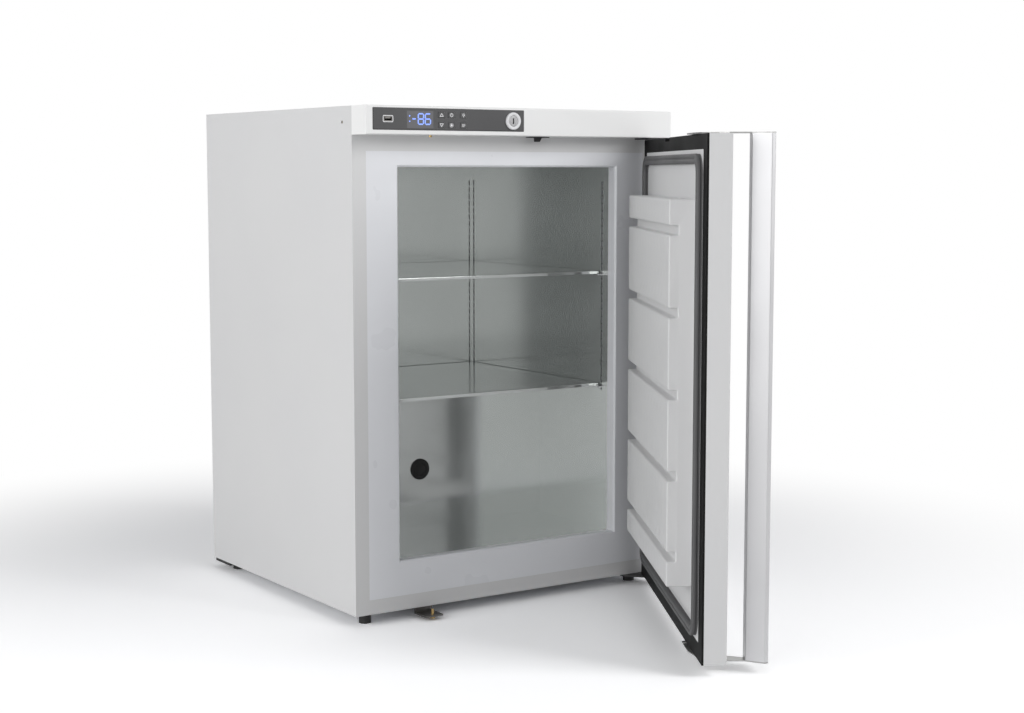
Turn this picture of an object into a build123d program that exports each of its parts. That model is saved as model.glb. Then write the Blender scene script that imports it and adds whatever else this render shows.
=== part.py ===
from build123d import *
import os
from math import cos, sin, radians

os.makedirs("parts", exist_ok=True)

# Undercounter ultra low temperature freezer, in millimetres.
# Sizes are measured from the cabinet: x from its left side, y back from its front plane,
# z up from its underside. Each finished piece is then moved so that the origin lies on the floor,
# midway between the four feet.

# Cabinet shell
cabinet_width = 600.0
cabinet_depth = 542.0
cabinet_height = 813.0
sheet = 1.2
flange_width = 25.0
side_screw_radius = 2.5
side_screw_y = 31.0
side_screw_drop = 25.0
fold = 14.0

# Feet
foot_height = 18.0
foot_radius = 10.0
foot_inset = 30.0
foot_front_inset = 25.0
foot_rear_inset = 42.0
skid_length = 59.0
skid_width = 12.0
skid_height = 7.0
skid_inset = 4.0
bolt_half = 3.5
bolt_reach = 9.0
bolt_room = 1.0

# Front face: fascia, rails and breaker frame round the opening
fascia_height = 45.0
fascia_depth = 46.0
fascia_wall = 2.0
top_rail_height = 25.0
bottom_rail_height = 24.0
breaker_side = 58.5
breaker_top = 25.0
breaker_bottom = 57.0
breaker_thickness = 4.0
breaker_return = 20.0
breaker_lip = 3.0
breaker_bevel = 2.8

# Chamber
liner = 1.0
rear_wall = 82.0
bay_depth = 234.0
hump_height = 247.0
hump_insulation = 80.0
pilaster_front_y = 38.0
pilaster_rear_inset = 8.0
slot_height = 10.0
slot_width = 4.0
slot_count = 28
slot_top_gap = 29.5
channel_width = 14.0
channel_depth = 6.0
channel_wall = 0.8

# Shelves and their clips
shelf_hump_gap = 12.5
shelf_pitches = 15
shelf_sheet = 1.2
shelf_lip = 5.5
shelf_front_y = 42.0
shelf_side_gap = 2.5
shelf_rear_gap = 3.0
clip_thickness = 2.0
clip_width = 18.0
clip_reach = 13.0
clip_clearance = 0.3
clip_hook = 5.0

# Access port
port_radius = 16.0
port_left = 173.0
port_height = 103.3
port_wall = 2.0
plug_flange = 2.7
plug_taper = 1.5
plug_edge = 1.0
plug_flange_thickness = 3.0
plug_length = 45.0
plug_clearance = 0.3

# Door
door_side_gap = 1.5
door_gap = 9.0
door_thickness = 37.0
door_top_gap = 3.5
door_bottom_gap = 0.5
door_skin = 1.0
door_open_angle = 60.2
door_frame_thickness = 3.0
band_side = 31.0
band_top = 22.0
band_bottom = 27.0
door_edge_radius = 1.5
hinge_inset = 15.0
hinge_forward = 30.0
hinge_pin_radius = 4.0
hinge_pin_length = 20.0
hinge_plate_thickness = 3.0
top_hinge_thickness = 2.5
hinge_plate_margin = 12.0
hinge_foot_gap = 3.0
running_clearance = 0.05
bush_wall = 4.0
gasket_width = 15.0
gasket_clearance = 0.4
gasket_radius = 30.0
gasket_side = 32.0
gasket_top = 28.0
gasket_bottom = 30.5
gasket_bulb = 5.0

# Door insulation block
block_side = 6.5
block_front = 29.5
block_notch_depth = 14.0
block_notch_height = 14.5
block_top_gap = 47.2
block_bottom_gap = 15.0
block_short_height = 38.0
block_tall_count = 4
block_radius = 4.0

# Latch: handle profile, plates and pins
latch_pivot_x = 100.0
latch_inset = 25.0
latch_pin_radius = 4.0
latch_pin_length = 20.0
latch_head = 0.7
latch_head_radius = 6.8
latch_plate_thickness = 2.0
latch_plate_gap = 0.5
latch_turn = 15.0
tongue_reach = 42.0
tongue_front = 3.5
tongue_corner = 4.0
lever_slant = 15.0
lever_tail = 43.0
lever_neck = 36.0
lever_waist = 10.0
handle_wall = 2.0
handle_gap = 32.0
handle_reach = 64.0
handle_lip = 6.0
handle_radius = 2.5
grip_left = 12.0
grip_width = 47.5
grip_corner = 2.5
waist_left = 26.5
waist_width = 17.0
catch_reach = 30.0
catch_inset = 13.0
catch_radius = 2.5
catch_tip_gap = 0.3
catch_clearance = 0.8
catch_bracket_width = 33.0
catch_bracket_drop = 12.0
catch_bracket_sheet = 3.0
catch_bracket_depth = 48.0
catch_nut_radius = 4.5
catch_nut_height = 3.0
catch_step = 6.0
catch_head = 3.0

# Control panel
overlay_left = 11.5
overlay_right = 293.5
overlay_bottom = 7.0
overlay_top = 3.5
overlay_thickness = 0.4
display_left = 72.8
display_right = 120.7
display_bottom = 10.3
display_top_gap = 7.9
display_depth = 6.0
key_width = 12.0
key_height = 8.0
key_columns = (135.9, 154.4, 176.9)
key_row_bottom = 15.5
key_row_top_gap = 13.5
key_proud = 0.5
key_travel = 0.5
key_clearance = 0.3
socket_left = 30.6
socket_width = 16.3
socket_bottom = 20.0
socket_height = 8.4
socket_depth = 18.0
socket_wall = 1.6
board_gap = 9.0
board_thickness = 1.6
board_left_margin = 8.0
board_right_margin = 15.0
post_half = 2.5
post_inset = 4.0
module_margin = 2.0
small_radius = 1.5

# Key lock
lock_x = 271.8
lock_share = 0.5311
lock_ring_radius = 14.0
lock_ring_depth = 4.0
lock_ring_bevel = 1.2
lock_barrel_radius = 9.0
lock_barrel_length = 28.0
keyway_width = 2.2
keyway_height = 9.0
keyway_depth = 5.0
crank_top_gap = 0.9
crank_pin_radius = 2.0
crank_thickness = 3.0
crank_turn = 90.0
yoke_clearance = 0.6
yoke_wall = 2.0
bar_height = 14.0
bar_thickness = 3.0
bar_gap = 0.5
bar_rise = 3.0
bar_margin = 3.0
hook_x = 336.0
hook_width = 14.0
hook_depth = 4.9
hook_slope = 4.0
slider_left = 12.0
slider_right = 11.0
slider_width = 15.0
slider_thickness = 1.5
hook_clearance = 0.3
pocket_clearance = 5.0
pocket_floor_gap = 1.1
keeper_wall = 4.0
guide_width = 12.0
guide_height = 16.0
guide_offset = 26.0

# Machine bay
compressor_share = 0.12
compressor_left_share = 0.2
compressor_right_share = 0.5
compressor_height = 150.0
compressor_base = 14.0
foot_plate = 3.0
foot_plate_corner = 8.0
foot_plate_margin = 8.0
band_height = 8.0
band_proud = 3.0
line_gap = 0.3
mount_share = 0.8
mount_half = 8.0
condenser_share = 0.2833
condenser_side_gap = 35.0
condenser_rear_gap = 42.0
condenser_depth = 30.0
condenser_top_gap = 19.0
flat_tube_count = 8
flat_tube_height = 3.0
flat_tube_depth = 20.0
fin_sheet = 0.8
fin_folds = 10
shroud_wall = 1.5
shroud_depth = 24.0
fan_margin = 13.0
fan_hub_radius = 20.0
fan_hub_height = 14.0
fan_hub_gap = 3.0
fan_blade_count = 5
fan_blade_thickness = 1.5
fan_blade_tilt = 25.0
fan_clearance = 4.0
fan_shaft_radius = 3.0
motor_radius = 24.0
motor_length = 34.0
motor_bar_height = 12.0
motor_bar_depth = 4.0
drier_radius = 13.0
drier_length = 90.0
drier_wall_gap = 9.0
drier_offset = 20.0
drier_cone = 5.0
pipe_radius = 4.0
pipe_rise = 110.0
louvre_pitch = 14.0
louvre_height = 4.0
louvre_count = 13
inlet_width = 28.0
inlet_height = 20.0
inlet_depth = 24.0
inlet_wall = 2.0
inlet_floor = 6.0
blade_width = 2.0
blade_height = 4.0
blade_spread = 7.0
blade_reach = 14.0
inlet_x = 60.0
inlet_z = 60.0

# Places that follow from the sizes above
fascia_z = cabinet_height - fascia_height
rail_z = fascia_z - top_rail_height
frame_left = flange_width
frame_right = cabinet_width - flange_width
opening_left = frame_left + breaker_side
opening_right = frame_right - breaker_side
opening_bottom = bottom_rail_height + breaker_bottom
opening_top = rail_z - breaker_top
hump_top = opening_bottom + hump_height
chamber_depth = cabinet_depth - rear_wall
lower_depth = cabinet_depth - bay_depth - hump_insulation - liner
bay_front = lower_depth + liner + hump_insulation
bay_top = hump_top - liner - hump_insulation
shelf_lower_top = hump_top + shelf_hump_gap
lowest_slot = shelf_lower_top - shelf_lip - clip_thickness
slot_pitch = (opening_top - slot_top_gap - lowest_slot) / (slot_count - 1)
shelf_upper_top = shelf_lower_top + shelf_pitches * slot_pitch
pilaster_ys = (pilaster_front_y, chamber_depth - pilaster_rear_inset)
port_x = opening_left + port_left
port_z = opening_bottom + port_height
door_left = door_side_gap
door_right = cabinet_width - door_side_gap
door_bottom = door_bottom_gap
door_top = fascia_z - door_top_gap
door_back = -door_gap
door_front = door_back - door_thickness
block_top = opening_top - block_top_gap
block_bottom = opening_bottom + block_bottom_gap
hinge_x = cabinet_width - hinge_inset
hinge_y = -hinge_forward
bush_half = hinge_pin_radius + running_clearance + bush_wall
latch_bush_half = latch_pin_radius + running_clearance + bush_wall
latch_pivot_y = door_back - latch_inset
tongue_end = latch_pivot_x + tongue_reach
catch_x = latch_pivot_x + catch_reach
catch_y = door_back - catch_inset
latch_top = door_top + latch_plate_gap
latch_bottom = door_bottom - latch_plate_gap
lock_height = lock_share * fascia_height
crank_space = fascia_height - fascia_wall - lock_height - crank_top_gap
crank_radius = crank_space - crank_pin_radius - 2 * yoke_clearance - yoke_wall
bar_travel = 2 * crank_radius * sin(radians(crank_turn / 2))
bar_low = fascia_z + fascia_wall + bar_rise
lock_z = fascia_z + lock_height
crank_y = -fascia_depth - lock_ring_depth / 2 + lock_barrel_length
bar_y = crank_y + crank_thickness + bar_gap
hook_y = bar_y + bar_thickness / 2
overlay_front = -fascia_depth - overlay_thickness
display_top = fascia_height - display_top_gap
key_rows = (key_row_bottom, fascia_height - key_row_top_gap)
foot_xs = (foot_inset, cabinet_width - foot_inset)
foot_ys = (foot_front_inset, cabinet_depth - foot_rear_inset)
foot_places = [(x, y) for x in foot_xs for y in foot_ys]
compressor_radius = compressor_share * cabinet_width
compressor_left_x = compressor_left_share * cabinet_width
compressor_right_x = compressor_right_share * cabinet_width
compressor_y = bay_front + bay_depth / 2
mount_pitch = mount_share * compressor_radius
condenser_width = condenser_share * cabinet_width
condenser_left = cabinet_width - condenser_side_gap - condenser_width
condenser_y = cabinet_depth - condenser_rear_gap - condenser_depth
condenser_low = 2 * fold
condenser_height = bay_top - condenser_low - condenser_top_gap
header_radius = condenser_depth / 2
fan_radius = condenser_width / 2 - fan_margin


def slab(x0, x1, y0, y1, z0, z1):
    """Block between two opposite corners."""
    return Pos((x0 + x1) / 2, (y0 + y1) / 2, (z0 + z1) / 2) * Box(x1 - x0, y1 - y0, z1 - z0)


def rod(x, y, z, radius, length, axis="z"):
    """Round bar that starts at a point and runs along one axis, positive way."""
    turns = {"x": Rotation(0, 90, 0), "y": Rotation(-90, 0, 0), "z": Rotation(0, 0, 0)}
    low = (Align.CENTER, Align.CENTER, Align.MIN)
    return Pos(x, y, z) * turns[axis] * Cylinder(radius, length, align=low)


def outline_face(points, level, axis):
    """Flat closed face through points given in the two axes that aren't its own."""
    spots = {"x": lambda a, b: (level, a, b), "y": lambda a, b: (a, level, b), "z": lambda a, b: (a, b, level)}
    return make_face(Polyline(*[spots[axis](a, b) for a, b in points], close=True))


def prism(points, start, end, axis):
    """Outline carried straight along one axis from start to end."""
    ways = {"x": (1, 0, 0), "y": (0, 1, 0), "z": (0, 0, 1)}
    return extrude(outline_face(points, start, axis), amount=end - start, dir=ways[axis])


def bent_sheet(points, thickness, start, end, axis):
    """Folded sheet: a line of points with the metal on its right-hand side."""
    flat = Polyline(*points)
    strip = make_face(offset(flat, amount=thickness, side=Side.RIGHT))
    planes = {
        "z": Plane.XY,
        "y": Plane((0, 0, 0), (1, 0, 0), (0, -1, 0)),
        "x": Plane((0, 0, 0), (0, 1, 0), (1, 0, 0)),
    }
    plane = planes[axis]
    shift = {"z": Pos(0, 0, start), "y": Pos(0, end, 0), "x": Pos(start, 0, 0)}[axis]
    return shift * extrude(plane * strip, amount=end - start)


def post(x, y, low, high, half):
    """Upright square bar."""
    return slab(x - half, x + half, y - half, y + half, low, high)


def other_side(piece):
    """Mirror image across the cabinet's middle."""
    return mirror(piece, Plane.YZ.offset(cabinet_width / 2))


def side_panel():
    """Left side: one sheet folded round the front and the back."""
    path = [(flange_width, 0), (0, 0), (0, cabinet_depth), (flange_width, cabinet_depth)]
    panel = bent_sheet(path, sheet, 0, cabinet_height, "z")
    hole = rod(-sheet, side_screw_y, cabinet_height - side_screw_drop, side_screw_radius, 3 * sheet, "x")
    return panel - hole


def top_panel():
    """Top sheet with its edges folded down inside the sides."""
    path = [(sheet, cabinet_height - fold), (sheet, cabinet_height)]
    path += [(cabinet_width - sheet, cabinet_height), (cabinet_width - sheet, cabinet_height - fold)]
    return bent_sheet(path, sheet, sheet, cabinet_depth - sheet, "y")


def base_pan():
    """Bottom sheet with its edges folded up, and a square hole for each foot's bolt."""
    path = [(cabinet_width - sheet, fold), (cabinet_width - sheet, 0), (sheet, 0), (sheet, fold)]
    pan = bent_sheet(path, sheet, sheet, cabinet_depth - sheet, "y")
    holes = [post(x, y, -sheet, 2 * sheet, bolt_half) for x, y in foot_places]
    return pan - holes


def front_rail(low, high):
    """Painted sheet between the side flanges."""
    return slab(frame_left, frame_right, 0, sheet, low, high)


def back_panel(low, high):
    """Sheet screwed behind the rear flanges."""
    inner = cabinet_depth - sheet
    return slab(2 * sheet, cabinet_width - 2 * sheet, inner - sheet, inner, low, high)


def service_panel():
    """Lower back cover with two fields of louvres and a window for the power inlet."""
    panel = back_panel(2 * sheet, bay_top)
    rear = cabinet_depth
    fields = ((compressor_left_x, compressor_right_x), (condenser_left, condenser_left + condenser_width))
    cuts = []
    for left, right in fields:
        for row in range(louvre_count):
            z = bay_top / 2 + (row - (louvre_count - 1) / 2) * louvre_pitch
            cuts.append(slab(left, right, rear - 4 * sheet, rear, z - louvre_height / 2, z + louvre_height / 2))
    half_w, half_h = inlet_width / 2, inlet_height / 2
    window = slab(inlet_x - half_w, inlet_x + half_w, rear - 4 * sheet, rear, inlet_z - half_h, inlet_z + half_h)
    return panel - cuts - window


def feet():
    """Four round feet, each with a square-necked bolt up through the base."""
    return [
        rod(x, y, -foot_height, foot_radius, foot_height) + post(x, y, 0, bolt_reach, bolt_half)
        for x, y in foot_places
    ]


def skids():
    """Two strips under the rear corners."""
    right = skid_inset + skid_width
    left = slab(skid_inset, right, cabinet_depth - skid_length, cabinet_depth, -skid_height, 0)
    return [left, other_side(left)]


def breaker_ring():
    """Plastic frame round the opening, with a return lip and a bevelled mouth."""
    flat = slab(frame_left, frame_right, 0, breaker_thickness, bottom_rail_height, rail_z)
    lip = slab(
        opening_left - breaker_lip,
        opening_right + breaker_lip,
        0,
        breaker_return,
        opening_bottom - breaker_lip,
        opening_top + breaker_lip,
    )
    hole = slab(opening_left, opening_right, -1, breaker_return + 1, opening_bottom, opening_top)
    ring = flat + lip - hole
    mouth = ring.edges().filter_by_position(Axis.Y, -0.01, 0.01).filter_by(
        lambda edge: opening_left - 1 < edge.center().X < opening_right + 1
        and opening_bottom - 1 < edge.center().Z < opening_top + 1
    )
    return chamfer(mouth, breaker_bevel)


def breaker_rails():
    """The frame's four rails, cut apart at its mitres."""
    ring = breaker_ring()
    outer = [
        (frame_left, bottom_rail_height),
        (frame_right, bottom_rail_height),
        (frame_right, rail_z),
        (frame_left, rail_z),
    ]
    inner = [
        (opening_left, opening_bottom),
        (opening_right, opening_bottom),
        (opening_right, opening_top),
        (opening_left, opening_top),
    ]
    rails = []
    for i in range(4):
        j = (i + 1) % 4
        wedge = prism([outer[i], outer[j], inner[j], inner[i]], -1, breaker_return + 1, "y")
        rails.append(ring & wedge)
    return rails


def chamber_outline(grow):
    """Side view of the chamber: full depth above the hump, shallow below it."""
    return [
        (breaker_return, opening_bottom - grow),
        (lower_depth + grow, opening_bottom - grow),
        (lower_depth + grow, hump_top - grow),
        (chamber_depth + grow, hump_top - grow),
        (chamber_depth + grow, opening_top + grow),
        (breaker_return, opening_top + grow),
    ]


def slot_levels():
    return [lowest_slot + i * slot_pitch for i in range(slot_count)]


def liner_side():
    """Left wall of the chamber with its two columns of shelf slots."""
    wall = prism(chamber_outline(0), opening_left - liner, opening_left, "x")
    half_w, half_h = slot_width / 2, slot_height / 2
    slots = [
        slab(opening_left - 2 * liner, opening_left + liner, y - half_w, y + half_w, z - half_h, z + half_h)
        for y in pilaster_ys
        for z in slot_levels()
    ]
    return wall - slots


def liner_sheets():
    """Ceiling, back, hump and floor of the chamber."""
    left, right = opening_left - liner, opening_right + liner
    rear = chamber_depth + liner
    top, low = opening_top + liner, opening_bottom - liner
    hump_path = [(lower_depth, opening_bottom), (lower_depth, hump_top), (chamber_depth, hump_top)]
    hump = bent_sheet(hump_path, liner, left, right, "x")
    return {
        "liner_ceiling": slab(left, right, breaker_return, rear, opening_top, top),
        "liner_back": slab(left, right, chamber_depth, rear, hump_top - liner, opening_top),
        "liner_hump": hump - rod(port_x, lower_depth - 1, port_z, port_radius, liner + 2, "y"),
        "liner_floor": slab(left, right, breaker_return, lower_depth + liner, low, opening_bottom),
    }


def pilaster_channel(y):
    """Channel behind a column of slots, closed at the back, which the clips hook into."""
    top = lowest_slot + (slot_count - 1) * slot_pitch + slot_height
    low = lowest_slot - slot_height
    edge = opening_left - liner
    half = channel_width / 2
    far = edge - channel_depth
    path = [(edge, y + half), (far, y + half), (far, y - half), (edge, y - half)]
    flat = Polyline(*path)
    strip = make_face(offset(flat, amount=channel_wall, side=Side.LEFT))
    return Pos(0, 0, low) * extrude(strip, amount=top - low)


def pilaster_channels():
    left = [pilaster_channel(y) for y in pilaster_ys]
    return left + [other_side(channel) for channel in left]


def shelf(top):
    """Sheet shelf with its four edges folded down."""
    x0, x1 = opening_left + shelf_side_gap, opening_right - shelf_side_gap
    y0, y1 = shelf_front_y, chamber_depth - shelf_rear_gap
    tray = slab(x0, x1, y0, y1, top - shelf_lip, top)
    corners = tray.edges().filter_by(Axis.Z)
    tray = fillet(corners, 2 * shelf_sheet)
    wall = shelf_sheet
    hollow = slab(x0 + wall, x1 - wall, y0 + wall, y1 - wall, top - 2 * shelf_lip, top - wall)
    return tray - hollow


def shelf_clip(y, top, reach_back):
    """Tab under the shelf's folded edge, with a tongue through the wall that hooks down."""
    high = top - shelf_lip
    low = high - clip_thickness
    wall = opening_left
    near, far = (y - clip_width / 2, y + clip_width / 2)
    shift = reach_back * clip_width / 4
    tab = slab(wall, wall + clip_reach, near + shift, far + shift, low, high)
    half = slot_width / 2 - clip_clearance
    back = wall - liner - clip_clearance
    path = [
        (wall, high),
        (back - clip_thickness, high),
        (back - clip_thickness, low - clip_hook / 2),
        (back, low - clip_hook / 2),
        (back, low),
        (wall, low),
    ]
    return tab + prism(path, y - half, y + half, "y")


def shelf_clips(top):
    left = [shelf_clip(pilaster_ys[0], top, 1), shelf_clip(pilaster_ys[1], top, -1)]
    return left + [other_side(clip) for clip in left]


def insulation():
    """Foam between the outer sheets and the chamber, with room for the machine bay."""
    edge = 2 * sheet
    rear = cabinet_depth - 2 * sheet
    block = slab(edge, cabinet_width - edge, breaker_thickness, rear, edge, cabinet_height - edge)
    bay = slab(0, cabinet_width, bay_front - sheet, cabinet_depth, 0, bay_top + sheet)
    chamber = prism(chamber_outline(liner), opening_left - liner, opening_right + liner, "x")
    mouth = slab(
        opening_left - breaker_lip,
        opening_right + breaker_lip,
        0,
        breaker_return,
        opening_bottom - breaker_lip,
        opening_top + breaker_lip,
    )
    grooves = []
    low = lowest_slot - slot_height
    top = lowest_slot + (slot_count - 1) * slot_pitch + slot_height
    for y in pilaster_ys:
        half = channel_width / 2
        inner = opening_left - liner
        groove = slab(inner - channel_depth, inner, y - half, y + half, low, top)
        grooves += [groove, other_side(groove)]
    port = rod(port_x, lower_depth, port_z, port_radius + port_wall, bay_front - lower_depth, "y")
    bolts = [post(x, y, 0, bolt_reach + bolt_room, bolt_half + bolt_room) for x, y in foot_places]
    return block - bay - chamber - mouth - grooves - port - bolts


def bay_wall():
    """Folded sheet that parts the machine bay from the foam, with the port's hole."""
    path = [(bay_front, sheet), (bay_front, bay_top), (cabinet_depth - 2 * sheet, bay_top)]
    folded = bent_sheet(path[::-1], sheet, 2 * sheet, cabinet_width - 2 * sheet, "x")
    return folded - rod(port_x, bay_front - 2 * sheet, port_z, port_radius + port_wall, 4 * sheet, "y")


def port_tube():
    """Sleeve of the access port, from the chamber to the machine bay."""
    start = lower_depth + liner
    length = bay_front - start
    outer = rod(port_x, start, port_z, port_radius + port_wall, length, "y")
    return outer - rod(port_x, start - 1, port_z, port_radius, length + 2, "y")


def port_plug():
    """Rubber stopper with a thin flange on the chamber side, tapering inwards."""
    radius = port_radius - plug_clearance
    flange = plug_flange_thickness
    half = [
        (0, -flange),
        (port_radius + plug_flange - plug_edge, -flange),
        (port_radius + plug_flange, -flange + plug_edge),
        (port_radius + plug_flange, 0),
        (radius, 0),
        (radius - plug_taper, plug_length),
        (0, plug_length),
    ]
    face = outline_face([(port_x + r, lower_depth + y) for r, y in half], port_z, "z")
    return revolve(face, Axis((port_x, lower_depth, port_z), (0, 1, 0)))


def fascia():
    """Control box cover across the front, open at the back, with cut-outs for what it carries."""
    outer = slab(0, cabinet_width, -fascia_depth, 0, fascia_z, cabinet_height)
    fronts = outer.edges().filter_by(Axis.X).group_by(Axis.Y)[0]
    outer = fillet(fronts, fascia_wall)
    hollow = slab(
        fascia_wall,
        cabinet_width - fascia_wall,
        fascia_wall - fascia_depth,
        fascia_wall,
        fascia_z + fascia_wall,
        cabinet_height - fascia_wall,
    )
    cuts = [key_cut(x, z, key_clearance) for x, z in key_places()]
    cuts.append(front_cut(display_left, display_right, fascia_z + display_bottom, fascia_z + display_top))
    cuts.append(socket_cut())
    cuts.append(rod(lock_x, -fascia_depth - 1, lock_z, lock_barrel_radius + hook_clearance, fascia_wall + 2, "y"))
    cuts.append(hook_slot())
    cuts.append(rod(catch_x, catch_y, fascia_z - 1, catch_radius, fascia_wall + 2))
    cuts.append(rod(hinge_x, hinge_y, fascia_z - 1, hinge_pin_radius, fascia_wall + 2))
    cover = outer - hollow - cuts
    for guide in bar_guides():
        cover += guide
    return cover


def front_cut(left, right, low, high):
    """Rectangular hole right through the fascia's front wall."""
    return slab(left, right, -fascia_depth - 2, fascia_wall - fascia_depth + 1, low, high)


def key_places():
    return [(x, fascia_z + z) for z in key_rows for x in key_columns]


def key_cut(x, z, clearance):
    half_w, half_h = key_width / 2 + clearance, key_height / 2 + clearance
    return front_cut(x - half_w, x + half_w, z - half_h, z + half_h)


def socket_cut():
    low = fascia_z + socket_bottom
    return front_cut(socket_left, socket_left + socket_width, low, low + socket_height)


def hook_slot():
    """Slot in the fascia's underside that the lock hook's stem slides along."""
    half = bar_thickness / 2 + hook_clearance
    left = hook_x - hook_clearance
    right = hook_x + hook_width + bar_travel + hook_clearance
    return slab(left, right, hook_y - half, hook_y + half, fascia_z - 1, fascia_z + fascia_wall + 1)


def control_overlay():
    """Thin plate on the fascia round the display, the keys, the socket and the lock."""
    plate = slab(
        overlay_left,
        overlay_right,
        overlay_front,
        -fascia_depth,
        fascia_z + overlay_bottom,
        cabinet_height - overlay_top,
    )
    corners = plate.edges().filter_by(Axis.Y)
    plate = fillet(corners, small_radius)
    cuts = [key_cut(x, z, key_clearance) for x, z in key_places()]
    cuts.append(front_cut(display_left, display_right, fascia_z + display_bottom, fascia_z + display_top))
    cuts.append(socket_cut())
    cuts.append(rod(lock_x, overlay_front - 1, lock_z, lock_ring_radius, overlay_thickness + 2, "y"))
    return plate - cuts


def display_window():
    """Dark lens that fills the display's hole."""
    low, high = fascia_z + display_bottom, fascia_z + display_top
    return slab(display_left, display_right, overlay_front, display_depth - fascia_depth, low, high)


def key_cap(x, z):
    """Key that stands a little proud of the panel."""
    front = overlay_front - key_proud
    half_w, half_h = key_width / 2, key_height / 2
    rear = board_gap - fascia_depth - key_travel - key_clearance
    cap = slab(x - half_w, x + half_w, front, rear, z - half_h, z + half_h)
    return fillet(cap.edges().filter_by(Axis.Y), small_radius)


def controller_board():
    """Circuit board behind the keys, the display's module on it, and the posts that hold it."""
    y = board_gap - fascia_depth
    low, high = fascia_z + overlay_bottom, cabinet_height - overlay_bottom
    left, right = display_left - board_left_margin, key_columns[-1] + board_right_margin
    board = slab(left, right, y, y + board_thickness, low, high)
    module = slab(
        display_left + module_margin,
        display_right - module_margin,
        display_depth - fascia_depth,
        y,
        fascia_z + display_bottom + module_margin,
        fascia_z + display_top - module_margin,
    )
    posts = [
        slab(x - post_half, x + post_half, y + board_thickness, 0, z - post_half, z + post_half)
        for x in (left + post_inset, right - post_inset)
        for z in (low + post_inset, high - post_inset)
    ]
    return [board, module] + posts


def usb_socket():
    """Data socket shell with its contact tongue, set into the panel."""
    low = fascia_z + socket_bottom
    high = low + socket_height
    right = socket_left + socket_width
    rear = socket_depth - fascia_depth
    shell = slab(socket_left, right, overlay_front, rear, low, high)
    wall = socket_wall
    inner_left, inner_right = socket_left + wall, right - wall
    hollow = slab(inner_left, inner_right, overlay_front - 1, rear - wall, low + wall, high - wall)
    tongue_low = high - 2.4 * wall
    tongue = slab(inner_left + wall, inner_right - wall, overlay_front + 1, rear - wall, tongue_low, high - wall)
    return shell - hollow + tongue


def lock_ring():
    """Round bezel of the key lock."""
    ring = rod(lock_x, -fascia_depth - lock_ring_depth, lock_z, lock_ring_radius, lock_ring_depth, "y")
    front_edge = ring.edges().group_by(Axis.Y)[0]
    ring = chamfer(front_edge, lock_ring_bevel)
    bore = lock_barrel_radius + running_clearance
    return ring - rod(lock_x, -fascia_depth - lock_ring_depth - 1, lock_z, bore, lock_ring_depth + 2, "y")


def lock_barrel():
    """Turning cylinder with its upright keyway, and the crank on its end."""
    face_y = -fascia_depth - lock_ring_depth / 2
    barrel = rod(lock_x, face_y, lock_z, lock_barrel_radius, lock_barrel_length, "y")
    half_w, half_h = keyway_width / 2, keyway_height / 2
    rear = face_y + keyway_depth
    keyway = slab(lock_x - half_w, lock_x + half_w, face_y - 1, rear, lock_z - half_h, lock_z + half_h)
    return barrel - keyway + lock_crank()


def crank_pin_place():
    """Centre of the crank's pin when the lock is open."""
    lean = radians(crank_turn / 2)
    return lock_x - crank_radius * sin(lean), lock_z + crank_radius * cos(lean)


def lock_crank():
    """Arm on the barrel's end, with the pin that drives the bar."""
    x, z = crank_pin_place()
    hub = rod(lock_x, crank_y, lock_z, lock_barrel_radius, crank_thickness, "y")
    tip = rod(x, crank_y, z, 2 * crank_pin_radius, crank_thickness, "y")
    lean = crank_turn / 2
    half = 2 * crank_pin_radius
    arm = slab(-half, half, crank_y, crank_y + crank_thickness, 0, crank_radius)
    arm = Pos(lock_x, 0, lock_z) * Rotation(0, -lean, 0) * arm
    pin = rod(x, crank_y + crank_thickness, z, crank_pin_radius, bar_thickness + bar_gap, "y")
    return hub + tip + arm + pin


def lock_bar():
    """Sliding bar: an upright slot for the crank's pin at one end, the hook at the other."""
    pin_x, pin_z = crank_pin_place()
    half = crank_pin_radius + yoke_clearance
    top = lock_z + crank_radius + crank_pin_radius + 2 * yoke_clearance
    head_low = pin_z - crank_pin_radius - 3 * yoke_clearance
    margin = bar_margin
    path = [
        (pin_x - half - margin, head_low - margin),
        (pin_x + half + 2 * margin, head_low - margin),
        (hook_x - margin, bar_low + bar_height),
        (hook_x - margin, bar_low),
        (hook_x + hook_width, bar_low),
        (hook_x + hook_width, bar_low + bar_height + 2 * margin),
        (pin_x + half + 3 * margin, top + yoke_wall),
        (pin_x - half - margin, top + yoke_wall),
    ]
    bar = prism(path, bar_y, bar_y + bar_thickness, "y")
    slot = slab(pin_x - half, pin_x + half, bar_y - 1, bar_y + bar_thickness + 1, head_low, top)
    return bar - slot + lock_hook()


def lock_hook():
    """Stem, slider plate and tooth below the fascia."""
    half = bar_thickness / 2
    plate_top = fascia_z - hook_clearance
    plate_low = plate_top - slider_thickness
    tip = door_top - hook_depth
    stem = slab(hook_x, hook_x + hook_width, hook_y - half, hook_y + half, plate_top, bar_low)
    plate = slab(
        hook_x - slider_left,
        hook_x + hook_width + slider_right,
        hook_y - slider_width / 2,
        hook_y + slider_width / 2,
        plate_low,
        plate_top,
    )
    tooth = prism(
        [
            (hook_x, plate_low),
            (hook_x, tip + 1),
            (hook_x + 1, tip),
            (hook_x + hook_width - hook_slope, tip),
            (hook_x + hook_width, plate_low),
        ],
        hook_y - half,
        hook_y + half,
        "y",
    )
    return stem + plate + tooth


def bar_guides():
    """Two blocks behind the bar that hold it against the crank."""
    rear = bar_y + bar_thickness + hook_clearance
    z = fascia_z + fascia_wall
    lefts = (lock_x + guide_offset, hook_x + hook_width + bar_travel)
    return [slab(x, x + guide_width, rear, 0, z, z + guide_height) for x in lefts]


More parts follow.
